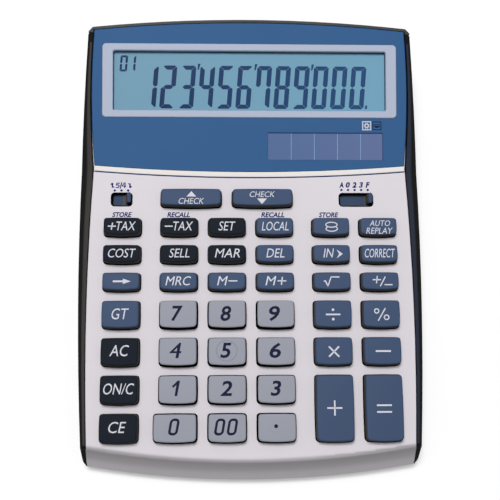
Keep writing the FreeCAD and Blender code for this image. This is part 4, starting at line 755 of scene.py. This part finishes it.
# %% All keys
BLACK = (BLACK_KEY, PALE_INK)
SLATE = (SLATE_KEY, PALE_INK)
GREY = (GREY_KEY, NAVY_INK)
KEY_LOOKS = {
    "add_tax_key": (BLACK, bar(-3.7, -0.1, 3.0, 0.45), stroke(-3.9, -1.5, -3.45, 1.25, 0.45),
                    word("TAX", 1.6, 0, 7.3, 3.4)),
    "less_tax_key": (BLACK, bar(-3.8, -0.1, 3.0, 0.45), word("TAX", 1.6, 0, 7.4, 3.4)),
    "set_key": (BLACK, word("SET", 0.05, 0, 6.4, 3.5)),
    "local_key": (SLATE, word("LOCAL", 0.15, -0.05, 10.1, 3.4)),
    "store_key": (SLATE, ring(0.1, 0.5, 2.15, 0.95, 0.4),
                  ring(0.15, -1.06, 2.15, 0.95, 0.4, 140, 260)),
    "auto_replay_key": (SLATE, word("AUTO", 0.45, 1.1, 7.8, 2.2),
                        word("REPLAY", 0.2, -1.8, 10.1, 2.35)),
    "cost_key": (BLACK, word("COST", 0.25, 0.1, 10.3, 3.4)),
    "sell_key": (BLACK, word("SELL", 0.25, 0.1, 7.6, 3.4)),
    "margin_key": (BLACK, word("MAR", 0.15, 0.1, 9.4, 3.4)),
    "delete_key": (SLATE, word("DEL", 0.1, 0.1, 6.8, 3.4)),
    "input_key": (SLATE, word("IN", -1.2, 0.1, 4.0, 3.4),
                  shape((1.75, -1.95), (4.1, -0.25), (1.75, 1.45), (2.75, -0.25))),
    "correct_key": (SLATE, word("CORRECT", 0.1, 0.05, 11.4, 3.4)),
    "shift_key": (SLATE, shape((-2.9, -0.45), (0.8, -0.45), (0.8, -1.1), (3.7, -0.1),
                               (0.8, 0.9), (0.8, 0.25), (-2.9, 0.25))),
    "memory_recall_key": (SLATE, word("MRC", -0.05, 0.05, 9.5, 3.45)),
    "memory_minus_key": (SLATE, word("M", -1.7, 0.05, 4.0, 3.45), bar(2.2, 0.0, 3.3, 0.45)),
    "memory_plus_key": (SLATE, word("M", -1.7, 0.05, 4.1, 3.45), bar(2.4, 0.0, 3.3, 0.45),
                        stroke(2.2, -1.5, 2.6, 1.5, 0.45)),
    "square_root_key": (SLATE, stroke(-3.3, -0.2, -2.7, 0.1, 0.4),
                        stroke(-2.75, 0.15, -1.75, -2.0, 0.5),
                        stroke(-1.8, -2.1, -0.5, 1.5, 0.4),
                        stroke(-0.65, 1.45, 2.6, 1.45, 0.45)),
    "sign_key": (SLATE, bar(-1.4, 0.4, 3.1, 0.45), stroke(-1.6, -1.0, -1.2, 1.8, 0.45),
                 stroke(-0.2, -2.1, 1.8, 1.55, 0.4), bar(2.9, -1.5, 3.0, 0.45)),
    "grand_total_key": (SLATE, word("GT", 0.05, 0.1, 6.3, 4.1)),
    "key_7": (GREY, digit("7", -0.4, 0.2, 4.25, 5.7)),
    "key_8": (GREY, digit("8", -0.45, 0.15, 4.0, 5.65)),
    "key_9": (GREY, digit("9", -0.5, 0.1, 4.1, 5.65)),
    "divide_key": (SLATE, bar(-0.1, -0.3, 5.4, 0.6), dot(-0.1, 1.45, 0.5),
                   dot(-0.1, -2.05, 0.5)),
    "percent_key": (SLATE, ring(-1.85, 0.94, 0.8, 0.8, 0.42), ring(1.75, -1.42, 0.85, 0.85, 0.42),
                    stroke(-1.4, -2.7, 1.4, 2.0, 0.42)),
    "all_clear_key": (BLACK, word("AC", -0.05, 0.4, 7.1, 4.1)),
    "key_4": (GREY, digit("4", -0.85, 0.4, 4.3, 5.6)),
    "key_5": (GREY, digit("5", -0.5, 0.35, 4.05, 5.6)),
    "key_6": (GREY, digit("6", -0.4, 0.3, 4.2, 5.6)),
    "multiply_key": (SLATE, stroke(-1.95, -2.1, 1.8, 1.65, 0.6),
                     stroke(-1.95, 1.65, 1.8, -2.1, 0.6)),
    "subtract_key": (SLATE, bar(0.1, -0.1, 5.6, 0.65)),
    "on_clear_key": (BLACK, word("ON/C", 0.05, 0.4, 11.1, 4.0)),
    "key_1": (GREY, shape((-1.05, -2.25), (-0.1, -2.25), (0.9, 3.25), (0.02, 3.25),
                          (-2.02, 1.25), (-1.55, 0.65), (-0.4, 1.7))),
    "key_2": (GREY, digit("2", -0.35, 0.4, 4.3, 5.5)),
    "key_3": (GREY, digit("3", -0.3, 0.35, 3.9, 5.55)),
    "add_key": (SLATE, bar(-0.3, 0.05, 5.5, 0.58), bar(-0.3, 0.05, 0.58, 5.45)),
    "equals_key": (SLATE, bar(-0.2, 0.95, 5.45, 0.6), bar(-0.2, -1.45, 5.45, 0.6)),
    "clear_entry_key": (BLACK, word("CE", -0.2, 0.5, 6.35, 4.0)),
    "key_0": (GREY, zero(-0.3, 0.55)),
    "key_00": (GREY, zero(-2.7, 0.45), zero(1.85, 0.45)),
    "decimal_point_key": (GREY, dot(-0.4, 0.6, 0.72)),
    "check_up_key": (SLATE, shape((-1.7, 0.1), (2.0, 0.1), (0.15, 2.2)),
                     word("CHECK", 0.15, -1.6, 9.5, 2.3)),
    "check_down_key": (SLATE, word("CHECK", -0.15, 1.05, 9.5, 2.2),
                       shape((-2.15, -0.6), (-0.3, -2.8), (1.6, -0.6))),
}
for name, ((finish, legend_ink), *marks) in KEY_LOOKS.items():
    build_cap(name, finish, legend_ink, marks)
print("key caps:", len(caps))

# %% [markdown]
# The openings of the deck follow the caps: their corners are round and their edges bow with
# the keys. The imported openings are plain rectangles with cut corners, so a rim in the
# deck's own paint fills each one up to an even gap round its cap. Rim and opening meet
# along rays from the key's middle, which keeps every corner of both outlines.

# %% Rims of the openings
RIM_GAP = 0.08
OPENING_GAP = 0.37
OPENING_CUT = 1.105
RIM_TOP, RIM_DEPTH = -0.002, 1.2


def on_ray(outline, angle):
    """Where a ray from the middle crosses a closed outline."""
    dx, dy = math.cos(angle), math.sin(angle)
    for (ax, ay), (bx, by) in zip(outline, outline[1:] + outline[:1]):
        first, second = dx * ay - dy * ax, dx * by - dy * bx
        if (first <= 0) == (second <= 0) or first == second:
            continue
        share = first / (first - second)
        x, y = ax + (bx - ax) * share, ay + (by - ay) * share
        if x * dx + y * dy > 0:
            return x, y


rims = bmesh.new()
for middle, width, depth in caps.values():
    w, d, c = width / 2 + OPENING_GAP, depth / 2 + OPENING_GAP, OPENING_CUT
    hole = [(w - c, -d), (w, c - d), (w, d - c), (w - c, d), (c - w, d), (-w, d - c),
            (-w, c - d), (c - w, -d)]
    rim = rounded_outline(width, depth, -RIM_GAP)
    angles = sorted(math.atan2(y, x) + 1e-7 for x, y in hole + rim)
    loops = ([on_ray(outline, angle) for angle in angles] for outline in (hole, rim))
    add_band(rims, *loops, DECK @ Matrix.Translation(middle), RIM_TOP, 0, RIM_DEPTH)
piece_from(rims, "opening_rims", "case", SILVER)

# %% [markdown]
# The middle key of a number block carries a raised ring, so that a hand finds it without
# looking. It is a thin bead round the digit, moulded with the cap. A torus would do, but
# four hoops joined by a loft give the flat top and the sloping flanks of a moulded bead.

# %% Locating ring on the middle key
BEAD_PROFILE = ((4.0, -0.03), (3.8, 0.17), (3.68, 0.17), (3.48, -0.03))
bead_x, bead_y = caps["key_5"][0].x - 0.15, caps["key_5"][0].y + 0.3
hoops = [[(x, y, KEY_RISE + rise) for x, y in arc(bead_x, bead_y, radius, radius, steps=48)]
         for radius, rise in BEAD_PROFILE]
bead = bmesh.new()
loft(bead, hoops, DECK, lids=False)
piece_from(bead, "key_5_bead", "key_5", GREY_KEY)

# %% [markdown]
# The trim strip is a soft-edged moulding. The shade in the gaps on both sides of it is
# painted as a fine dark band: navy over the groove in front, dark blue in the gap behind.
# All three follow the same arc, so one function draws a band along it: the outline of its
# cross-section is carried from one end of the arc to the other.

# %% Trim strip and the painted shade of its gaps
BAND_RADIUS = 731.0
BAND_STEPS = 48


def arc_band(name, section, half, finish):
    """Carry a section, given as (y from the hinge line, z), along the strip's arc."""
    rings = []
    for step in range(BAND_STEPS + 1):
        x = half * (2 * step / BAND_STEPS - 1)
        base = HINGE_Y + BAND_RADIUS - math.sqrt(BAND_RADIUS**2 - x**2)
        rings.append([(x, base + y, z) for y, z in section])
    mesh = bmesh.new()
    loft(mesh, rings, DECK)
    piece_from(mesh, name, "case", finish, smooth=40)


half_strip = deck_extent("trim_strip")[1].x
soft_edges = [(-1.84, -0.3), (0.14, -0.3), (0.14, 0.3), (0.1, 0.42), (-0.02, 0.47),
              (-1.68, 0.47), (-1.8, 0.42), (-1.84, 0.3)]
arc_band("strip_cover", soft_edges, half_strip, CREAM)
# Painted shade in the groove in front of the strip, in the deck's navy ink.
arc_band("strip_groove_shade", rectangle(-2.24, -1.85, -0.3, 0.012), half_strip - 0.05, DECK_INK_AND_GROOVE_SHADE)
# Painted shade in the gap between the strip and the panel.
arc_band("panel_gap_shade", [(0.15, -0.2), (0.5, -0.2), (0.5, 0.1), (0.15, 0.06)],
         half_strip - 0.05, PANEL_INK_AND_GAP_SHADE)

# %% [markdown]
# A slide switch is one moulding: a plate that closes its slot from below at every place, a
# grip with a rounded top that stands out of the slot, and a pin that moves the contacts.
# The grip's left flank slopes towards a step of the plate. Both are painted a warm grey as
# painted shade beside the grip, and the grip's other sides are painted black as painted
# shade. The packed ones have a straight block for a grip, so each is rebuilt here: blocks
# for plate, pin and step, and a loft for the grip.

# %% Slide switches
GRIP_TOP, GRIP_Y = 1.6, 98.2
GRIP_HALF_W, GRIP_HALF_D, GRIP_ROUND = 1.15, 2.05, 0.8
FLANK = 0.6
LEFT_FACES = range(13, 22)  # of the faces round one level, those on the left flank
SHADE_STEP_LEFT, SHADE_STEP_RIGHT = 2.2, 1.5
GRIP_PROFILE = ((3.9, 0.0), (0.5, 0.0), (0.3, 0.05), (0.15, 0.15), (0.05, 0.3), (0.0, 0.5))


def build_knob(name):
    """A switch with its plate, pin, step and grip as one piece."""
    plate_low, plate_high = deck_extent(name, above=-5)
    grip_low, grip_high = deck_extent(name, above=0)
    pin_x = (grip_low.x + grip_high.x) / 2
    shade_step_reach = SHADE_STEP_LEFT if pin_x < 0 else SHADE_STEP_RIGHT
    mesh = bmesh.new()
    for x0, x1, y0, y1, foot, top, slot in (
        (plate_low.x, plate_high.x, plate_low.y, plate_high.y, -3.3, -2.3, 1),
        (pin_x - 1.2, pin_x + 1.2, 96.47, 98.88, -7.0, -3.29, 1),
        # The step, 0.2 mm proud of the plate, carries the painted shade beside the grip.
        (pin_x - shade_step_reach, pin_x - 1.1, 95.2, 100.2, -2.31, -2.1, 3),
    ):
        add_shape(mesh, rectangle(x0, x1, y0, y1), DECK, top, slot, top - foot)
    rings = []
    for fall, inset in GRIP_PROFILE:
        lean = FLANK / 2 if rings else 0.0
        loop = rounded_loop(pin_x + lean, GRIP_Y, GRIP_HALF_W - lean - inset,
                            GRIP_HALF_D - inset, max(GRIP_ROUND - inset, 0.2), steps=5)
        rings.append([(x, y, GRIP_TOP - fall) for x, y in loop])
    # The grip's sides are black painted shade and its left flank warm grey painted shade; its top
    # is the knob's plastic.
    loft(mesh, rings, DECK, lambda level, i: 0 if level else 3 if i in LEFT_FACES else 2)
    piece = piece_from(mesh, f"{name}_grip", name, KNOB, SLIDE, PAINTED_SHADE_BLACK, WALL_LIGHT_AND_SHADE, smooth=40)
    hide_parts(name)


for name in ("rounding_switch_knob", "decimal_switch_knob"):
    build_knob(name)

# %% [markdown]
# Each slot has rounder corners than the opening that was cut for it, so the deck's paint
# fills those corners, and a black band of painted shade lines the slot's walls. Both are
# bands between two rounded outlines, one inside the other.

# %% Slot rims and the painted shade of the slot walls
SLOTS = ((-53.04, -44.96), (34.02, 47.18))
SLOT_Y, SLOT_HALF_D = 97.67, 2.65
for name, finish, top, depth, outlines in (
    ("slot_rims", SILVER, -0.002, 1.2, ((-0.35, 0.3), (-0.05, 1.45))),
    # The slot walls are black painted shade.
    ("slot_wall_shade", PAINTED_SHADE_BLACK, 0.012, 1.9, ((-0.12, 1.5), (0.28, 1.1))),
):
    mesh = bmesh.new()
    for left, right in SLOTS:
        loops = (rounded_loop((left + right) / 2, SLOT_Y, (right - left) / 2 - inset,
                              SLOT_HALF_D - inset, radius) for inset, radius in outlines)
        add_band(mesh, *loops, DECK, top, 0, depth)
    piece_from(mesh, name, "case", finish)

# %% [markdown]
# The rails are flat along the top and fall away outside. The flat crown catches the light,
# and that highlight is painted on: warm on the left and cooler on the right. Two thin bands
# on each draw the painted highlight with a soft edge. Rays cast down on the imported rail
# find its inner and outer edge, and the bands keep their place between them.

# %% Edges of the rails
rail_mesh = nodes["side_rails"].data
rail_tree = BVHTree.FromPolygons(
    [v.co for v in rail_mesh.vertices], [tuple(p.vertices) for p in rail_mesh.polygons]
)
DOWN = (DECK.to_3x3() @ Vector((0, 0, -1))).normalized()
CROWN_DROP = 1.2


def rail_height(x, y):
    """Height of the rail's top over a point of the deck, or None beside the rail."""
    hit = rail_tree.ray_cast(DECK @ Vector((x, y, 40)), DOWN)[0]
    return None if hit is None else (UNDECK @ hit).z


def rail_edges(side, y):
    """Inner and outer edge of the rail's top, at most CROWN_DROP under deck or panel."""
    least = max(y - HINGE_Y, 0) * math.tan(PANEL_TILT) - CROWN_DROP
    on_rail = [x for x in (side * (57 + 0.1 * i) for i in range(90))
               if (rail_height(x, y) or -9) > least]
    return on_rail[0], on_rail[-1]


print("right rail beside the middle of the deck:",
      tuple(round(x, 2) for x in rail_edges(1, HINGE_Y / 2)))

# %% Painted highlights on the rails' crowns
CROWN_START, CROWN_LENGTH, CROWN_STEPS = 6, 152, 39
BANDS = ((0.03, 0.54, 0.03), (0.05, 0.44, 0.05))  # inner edge, outer edge, rise
BAND_FOOT = -0.2
highlight_bands = bmesh.new()
for side, first_slot in ((-1, 0), (1, 2)):
    bands = [[] for band in BANDS]
    for step in range(CROWN_STEPS + 1):
        y = CROWN_START + CROWN_LENGTH * step / CROWN_STEPS
        inner, outer = rail_edges(side, y)
        for band, (start, end, proud) in zip(bands, BANDS):
            first, last = (inner + (outer - inner) * share for share in (start, end))
            section = ((first, BAND_FOOT), (first, proud), (last, proud), (last, BAND_FOOT))
            band.append([(x, y, rail_height(x, y) + rise) for x, rise in section])
    for number, band in enumerate(bands):
        loft(highlight_bands, band, DECK, lambda level, i: first_slot + number)
# These bands are the rails' painted highlights.
piece_from(highlight_bands, "rail_crown_highlights", "case", *CROWN_HIGHLIGHTS, smooth=50)

# %% [markdown]
# In front, the rails go on over the ends of the lip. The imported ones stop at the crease, so
# a thin plate on each side closes them. It lies on the slope of the lip and follows the
# edge of the rail.

# %% Noses of the rails
LIP_REACH, LIP_DROP = 6.8, 9.0
NOSE_FOOT, NOSE_TOP = -0.3, 0.12
outward = Vector((0, -LIP_DROP, LIP_REACH)).normalized()
noses = bmesh.new()
for side in (-1, 1):
    corners = [Vector((side * x, x * x / CREASE_ARC - LIP_REACH * share, -LIP_DROP * share))
               for x, share in ((61.0, 0.0), (60.2, 0.0), (60.7, 0.98), (61.0, 0.98))]
    loft(noses, [[p + outward * rise for p in corners] for rise in (NOSE_FOOT, NOSE_TOP)], DECK)
piece_from(noses, "rail_noses", "case", BLACK_RAIL)

# %% [markdown]
# The deck is printed in navy: a small legend above each switch and a word above four keys.
# The words come from the typeface. The rounding signs are too small for it to look right,
# so they are drawn stroke by stroke. Strokes that cross lie a hair above one another,
# because two faces in one plane would flicker.

# %% Print on the deck
deck_print = bmesh.new()
ABOVE = 0.015
FIVE_FOUR = (
    (-50.95, 104.1, -49.85, 104.1), (-50.95, 104.2, -51.1, 103.2),
    (-51.1, 103.35, -50.3, 103.4), (-50.35, 103.45, -50.0, 102.9),
    (-50.0, 103.0, -50.4, 102.4), (-50.3, 102.4, -51.35, 102.35),
    (-49.7, 101.9, -49.05, 104.5), (-48.0, 104.3, -48.95, 103.0),
    (-48.95, 102.95, -47.35, 102.95), (-47.75, 104.3, -48.0, 102.2),
)
for number, ends in enumerate(FIVE_FOUR):
    add_shape(deck_print, stroke_corners(*ends, 0.38), DECK, ABOVE + 0.001 * number)
for x, turned in ((-52.6, 1), (-45.95, -1)):
    for corners in (
        rectangle(-0.25, 0.25, -0.85, 0.4),
        rectangle(0.24, 0.75, -0.85, -0.45),
        ((-0.75, 0.2), (0.35, 0.2), (0.2, 1.0), (-0.4, 1.0)),
    ):
        moved = [(x + turned * cx, 103.2 + turned * cy) for cx, cy in corners]
        add_shape(deck_print, moved, DECK, ABOVE)
for text, x in (("A", 35.1), ("0", 37.6), ("2", 40.15), ("3", 42.7), ("F", 45.3)):
    add_word(deck_print, text, (x, 103.6), (1.65, 2.25), DECK, ABOVE, weight=0.045)
for text, x, width in (("STORE", -48.74, 7.37), ("RECALL", -27.29, 8.69), ("RECALL", 8.54, 8.9),
                       ("STORE", 29.91, 7.48)):
    add_word(deck_print, text, (x, 91.74), (width, 2.0), DECK, ABOVE, weight=0.032)
piece_from(deck_print, "deck_print", "case", DECK_INK_AND_GROOVE_SHADE)

# %% [markdown]
# The dots beside the switches repeat at the pitch of the switch, so Geometry Nodes lays
# them out: a line of points at that pitch, and a small disc on each. The tree has the
# number of places, the pitch and the dot's size as inputs, so one tree makes both rows.


# %% A tree for rows
def repeat_tree(name, build_unit, material):
    """A tree that sets one unit on a row of points and makes it all real."""
    group = bpy.data.node_groups.new(name, "GeometryNodeTree")
    row, given = NodeMaker(group), {}
    for label in ("Count", "Pitch", "Width", "Length", "Height"):
        kind = "NodeSocketInt" if label == "Count" else "NodeSocketFloat"
        group.interface.new_socket(label, in_out="INPUT", socket_type=kind)
        given[label] = row.node("NodeGroupInput", output=label)
    group.interface.new_socket("Geometry", in_out="OUTPUT", socket_type="NodeSocketGeometry")
    offset = row.node("ShaderNodeCombineXYZ", {"X": given["Pitch"]})
    points = row.node("GeometryNodeMeshLine", {"Count": given["Count"], "Offset": offset})
    spread = row.node("GeometryNodeInstanceOnPoints",
                      {"Points": points, "Instance": build_unit(row, given)})
    real = row.node("GeometryNodeRealizeInstances", {0: spread})
    painted = row.node("GeometryNodeSetMaterial", {"Geometry": real, "Material": material})
    row.node("NodeGroupOutput", {0: painted})
    return group


def disc_unit(row, given):
    inputs = {"Vertices": 16, "Radius": given["Width"], "Depth": given["Height"]}
    return row.node("GeometryNodeMeshCylinder", inputs)


def strip_unit(row, given):
    sides = {"X": given["Width"], "Y": given["Length"], "Z": given["Height"]}
    return row.node("GeometryNodeMeshCube", {"Size": row.node("ShaderNodeCombineXYZ", sides)})


# %% Run a tree
def repeated(name, tree, place, body, finish, **sizes):
    """Run a tree with these sizes, in millimetres, and keep its result as a piece."""
    holder = in_scene(name + "_layout", bpy.data.meshes.new(name + "_layout"))
    modifier = holder.modifiers.new("layout", "NODES")
    modifier.node_group = tree
    for item in tree.interface.items_tree:
        if item.in_out == "INPUT" and item.name in sizes:
            modifier[item.identifier] = sizes[item.name]
    data = settled(holder)
    data.transform(place)
    data.materials.clear()
    data.materials.append(finish)
    piece = in_scene(name, data)
    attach(piece, body)
    print("piece:", name, len(data.polygons), "faces")


# %% Rows of dots
SWITCH_PITCH = 2.54
dots = repeat_tree("switch_places", disc_unit, DECK_INK_AND_GROOVE_SHADE)
for name, x, y, count in (("rounding_dots", -51.68, 101.2, 3),
                          ("decimal_dots", 35.09, 101.58, 5)):
    where = DECK @ Matrix.Translation((x, y, 0.0))
    repeated(name, dots, where, "case", DECK_INK_AND_GROOVE_SHADE, Count=count, Pitch=SWITCH_PITCH, Width=0.46,
             Length=0.0, Height=0.04)

# %% [markdown]
# The solar cell is five cells in series. The gaps between them show as four fine light
# lines, which are the same kind of row with a strip in place of the disc. A dark band along
# the rear edge of the cell is a painted shadow, the one that its window casts there.

# %% Lines of the solar cell and its painted shadow
SOLAR_TOP = -0.3
CELL_LEFT, CELL_RIGHT, CELL_PITCH = 6.9, 51.3, 8.97
lines = repeat_tree("cell_gaps", strip_unit, CELL_LINE)
where = PANEL @ Matrix.Translation((15.9, 10.25, SOLAR_TOP))
repeated("solar_lines", lines, where, "case", CELL_LINE, Count=4, Pitch=CELL_PITCH, Width=0.13,
         Length=10.3, Height=0.03)
# The painted shadow of the window along the cell's rear edge.
edge = bmesh.new()
add_shape(edge, rectangle(CELL_LEFT, CELL_RIGHT, 15.25, 15.5), PANEL, SOLAR_TOP + 0.02)
piece_from(edge, "solar_top_shadow", "case", CELL_EDGE_SHADOW)

# %% [markdown]
# Behind the window the display ends in a polarising film, and a dark gasket closes the gap
# round it. The gasket and a dark band on the lower part of the window's inner wall are also
# painted shade along that wall. The film lies close under the window's outer face, where
# the digits appear to be. Film, gasket and band share the rounded outline of the window,
# each drawn in by its own amount.

# %% Film, gasket and painted wall shade of the display
FACE_TOP = -1.9
WINDOW_Y, WINDOW_HALF_W, WINDOW_HALF_D, WINDOW_ROUND = 35.6, 52.7, 11.6, 0.8


def window_loop(inset):
    """Points round the display window, drawn in by inset."""
    return rounded_loop(0, WINDOW_Y, WINDOW_HALF_W - inset, WINDOW_HALF_D - inset,
                        max(WINDOW_ROUND - inset, 0.1), steps=4)


film = bmesh.new()
add_shape(film, window_loop(0.1), PANEL, FACE_TOP, 0, 0.6)
piece_from(film, "display_polariser", "case", DISPLAY)
border_and_shade = bmesh.new()
# The first band lines the window's inner wall with painted shade; the second is the gasket ring,
# which is also painted shade along the wall's foot.
for outer, inner, top, depth in ((0.02, 0.08, -1.5, 0.28), (0.07, 0.2, -1.76, 0.03)):
    add_band(border_and_shade, window_loop(outer), window_loop(inner), PANEL, top, 0, depth)
piece_from(border_and_shade, "window_border_and_wall_shade", "case", GASKET_AND_WALL_SHADE)

# %% [markdown]
# The display shows a full row of digits. Each digit is seven separate segments with
# mitred ends, leaning a little to the right, so the segments are drawn from one table of
# corners and a small gap is left where two of them meet. A typeface with such digits would
# be another file, and its segments would touch.

# %% One figure
LCD_TOP, LCD_FILM = FACE_TOP + 0.02, 0.015
SEGMENT_GAP, LEAN = 0.13, 0.08
SEGMENTS_OF = {
    "0": "abcdef", "1": "bc", "2": "abged", "3": "abgcd", "4": "fgbc", "5": "afgcd",
    "6": "afgedc", "7": "fabc", "8": "abcdefg", "9": "abcdfg",
}


def add_figure(mesh, figure, x, low, width, height, bar_thick, post_thick):
    """Add one seven-segment digit, centred on x where its foot is."""
    w, h, t, p = width / 2, height / 2, bar_thick, post_thick
    g, c = SEGMENT_GAP / 2, post_thick * 0.22
    half_bar = [(-w + 2 * c + g, 0), (-w + c + g, -c), (-w + p + g, -t)]
    across = half_bar + [(-px, py) for px, py in reversed(half_bar)]
    upright = [(w, h - 2 * c), (w - c, h - c - g), (w - p, h - t - g), (w - p, t / 2 + g),
               (w - p / 2, g), (w, t * 0.35 + g)]
    middle = [(-w + p / 2 + g, 0), (-w + p + g, -t / 2), (w - p - g, -t / 2),
              (w - p / 2 - g, 0), (w - p - g, t / 2), (-w + p + g, t / 2)]
    shapes = {
        "a": [(px, h + py) for px, py in across],
        "d": [(px, -h - py) for px, py in across],
        "g": middle,
        "b": upright,
        "c": [(px, -py) for px, py in upright],
        "f": [(-px, py) for px, py in upright],
        "e": [(-px, -py) for px, py in upright],
    }
    for letter in SEGMENTS_OF[figure]:
        corners = [(x + px + py * LEAN, low + h + py) for px, py in shapes[letter]]
        add_shape(mesh, corners, PANEL, LCD_TOP, 0, LCD_FILM)


# %% All figures, ticks and the point
segments = bmesh.new()
FIGURE_PITCH, LAST_X, FIRST_X = 7.36, 42.02, -38.7
for number, figure in enumerate("123456789000"):
    x = LAST_X - FIGURE_PITCH * (11 - number) if number else FIRST_X
    add_figure(segments, figure, x, 25.1, 5.75, 16.75, 1.65, 1.8)
for figure, x in (("0", -48.75), ("1", -45.6)):
    add_figure(segments, figure, x, 39.4, 2.9, 6.3, 0.8, 0.85)
for number in (2, 5, 8):
    x = LAST_X - FIGURE_PITCH * (10.5 - number) + 0.95
    tick = ((x - 0.7, 40.2), (x - 0.2, 40.2), (x + 0.5, 42.6), (x - 0.5, 42.6))
    add_shape(segments, tick, PANEL, LCD_TOP, 0, LCD_FILM)
point = ((44.75, 25.2), (45.6, 25.2), (45.75, 26.7), (44.95, 26.5))
add_shape(segments, point, PANEL, LCD_TOP, 0, LCD_FILM)
piece_from(segments, "display_segments", "case", SEGMENT)

# %% [markdown]
# Two small signs on the panel say where the power comes from: a sun in a square for the
# solar cell and an oval in a square for the button cell. They are plain enough to be drawn
# from bands, strokes and part of an ellipse.

# %% Power signs
PANEL_TOP = 0.015
SUN_X, CELL_X, SIGN_Y = 45.2, 49.15, 18.35
signs = bmesh.new()
for x, half_d, slot in ((SUN_X, 1.75, 0), (CELL_X, 1.7, 1)):
    loops = (rectangle(x - 1.75 + line, x + 1.75 - line, SIGN_Y - half_d + line,
                       SIGN_Y + half_d - line) for line in (0.0, 0.36))
    add_band(signs, *loops, PANEL, PANEL_TOP, slot)
add_ring(signs, SUN_X, SIGN_Y, 0.66, 0.66, 0.4, PANEL, PANEL_TOP, steps=20)
for near, far in zip(arc(SUN_X, SIGN_Y, 0.95, 0.95, 22.5, steps=8),
                     arc(SUN_X, SIGN_Y, 1.32, 1.32, 22.5, steps=8)):
    add_shape(signs, stroke_corners(*near, *far, 0.28), PANEL, PANEL_TOP)
bowl = arc(CELL_X, SIGN_Y + 0.05, 1.15, 0.9, 180, 180, 12)
add_shape(signs, bowl, PANEL, PANEL_TOP, 1)
add_ring(signs, CELL_X, SIGN_Y + 0.1, 1.1, 0.5, 0.3, PANEL, PANEL_TOP + 0.005, 1, 0, 180, 14)
piece_from(signs, "power_signs", "case", PALE_INK, PANEL_INK_AND_GAP_SHADE)

# %% [markdown]
# The calculator lies on a large sheet of pale paper. A bright lamp on the paper would also
# brighten the object, so the paper is grey to the lamp and glows for rays that show the
# backdrop: less near the object, which keeps its shadow, and fully white far away.

# %% Floor
floor_data = bpy.data.meshes.new("studio_floor")
floor_data.from_pydata([(x, y, 0) for x, y in rectangle(-4, 4, -4, 4)], [], [(0, 1, 2, 3)])
floor = in_scene("studio_floor", floor_data)

paper = Finish("studio_paper")
seen = paper.backdrop_rays()
fibre = paper.noise(0.002) * 0.2
sheet = paper.blend(fibre, (0.66, 0.66, 0.66, 1), (0.64, 0.64, 0.64, 1))
matt = {"Color": paper.blend(seen, (0.3, 0.3, 0.3, 1), sheet)}
distance = paper.node("ShaderNodeVectorMath", {0: paper.place()}, 1, operation="LENGTH")
fade = {"Value": distance, "From Min": 0.3, "From Max": 2.0, "To Min": 0.38, "To Max": 1.0}
share = seen * paper.node("ShaderNodeMapRange", fade)
white = paper.node("ShaderNodeEmission", {"Color": (1, 1, 1, 1)})
glow = paper.node("ShaderNodeMixShader", {0: share, 2: white})
both = paper.node("ShaderNodeAddShader", {0: paper.node("ShaderNodeBsdfDiffuse", matt), 1: glow})
paper.node("ShaderNodeOutputMaterial", {"Surface": both})
floor_data.materials.append(paper.material)

# %% [markdown]
# The light is that of a small photo studio: one softbox high above and behind, and a dim
# sky that is a little brighter overhead, so that the front lip falls into a soft shade. The
# backdrop is plain white. The same rays see it as on the paper, so it adds no light to
# matt surfaces.

# %% Sky and softbox
scene = bpy.context.scene
sky = Finish("studio_sky", "worlds")
scene.world = sky.material
direction = sky.node("ShaderNodeTexCoord", output="Generated")
height = sky.node("ShaderNodeSeparateXYZ", {"Vector": direction}, 2)
low_sky, high_sky = (sky.node("ShaderNodeBackground", {"Strength": strength})
                     for strength in (0.12, 0.4))
studio = sky.node("ShaderNodeMixShader", {0: height, 1: low_sky, 2: high_sky})
white = sky.node("ShaderNodeBackground", {"Color": (1, 1, 1, 1)})
chosen = sky.node("ShaderNodeMixShader", {0: sky.backdrop_rays(), 1: studio, 2: white})
sky.node("ShaderNodeOutputWorld", {"Surface": chosen})

lamp = bpy.data.lights.new("overhead_softbox", "AREA")
lamp.shape = "RECTANGLE"
lamp.size = lamp.size_y = 0.45
lamp.energy = 17.8
softbox = in_scene("overhead_softbox", lamp)
softbox.location = (-0.15, 0.26, 1.48)
aim = Vector((0, 0, 0.01)) - softbox.location
softbox.rotation_euler = aim.to_track_quat("-Z", "Y").to_euler()
print("softbox:", lamp.energy, "watts")

# %% [markdown]
# The camera stands where the photograph was taken from: it was worked out from the edges of
# all the keys. It is nearly above the front half of the deck, 35 cm away, and looks a
# little towards the display. Its place and turn are given in the deck's frame.

# %% Camera
SENSOR_WIDTH = 36.0
FOCAL_PIXELS, IMAGE_WIDTH = 940.0, 500.0
CAMERA_DISTANCE = 355.73
eye = bpy.data.cameras.new("camera")
eye.sensor_width = SENSOR_WIDTH
eye.lens = FOCAL_PIXELS / IMAGE_WIDTH * SENSOR_WIDTH
eye.clip_start = 0.01
camera = in_scene("camera", eye)
pitch, yaw, roll = (math.radians(a) for a in (-11.31, 1.92, 0.01))
turn = (Matrix.Rotation(roll, 3, "Z") @ Matrix.Rotation(yaw, 3, "Y")
        @ Matrix.Rotation(pitch, 3, "X")).transposed()
stand = Vector((-0.24, 78.05, 0)) + turn @ Vector((0, 0, CAMERA_DISTANCE))
turned = (Matrix.Rotation(DECK_TILT, 3, "X") @ turn).to_4x4()
camera.matrix_world = Matrix.Translation(DECK @ stand) @ turned
scene.camera = camera
scene.view_settings.view_transform = "Standard"
print("camera at", tuple(round(v, 4) for v in camera.location))
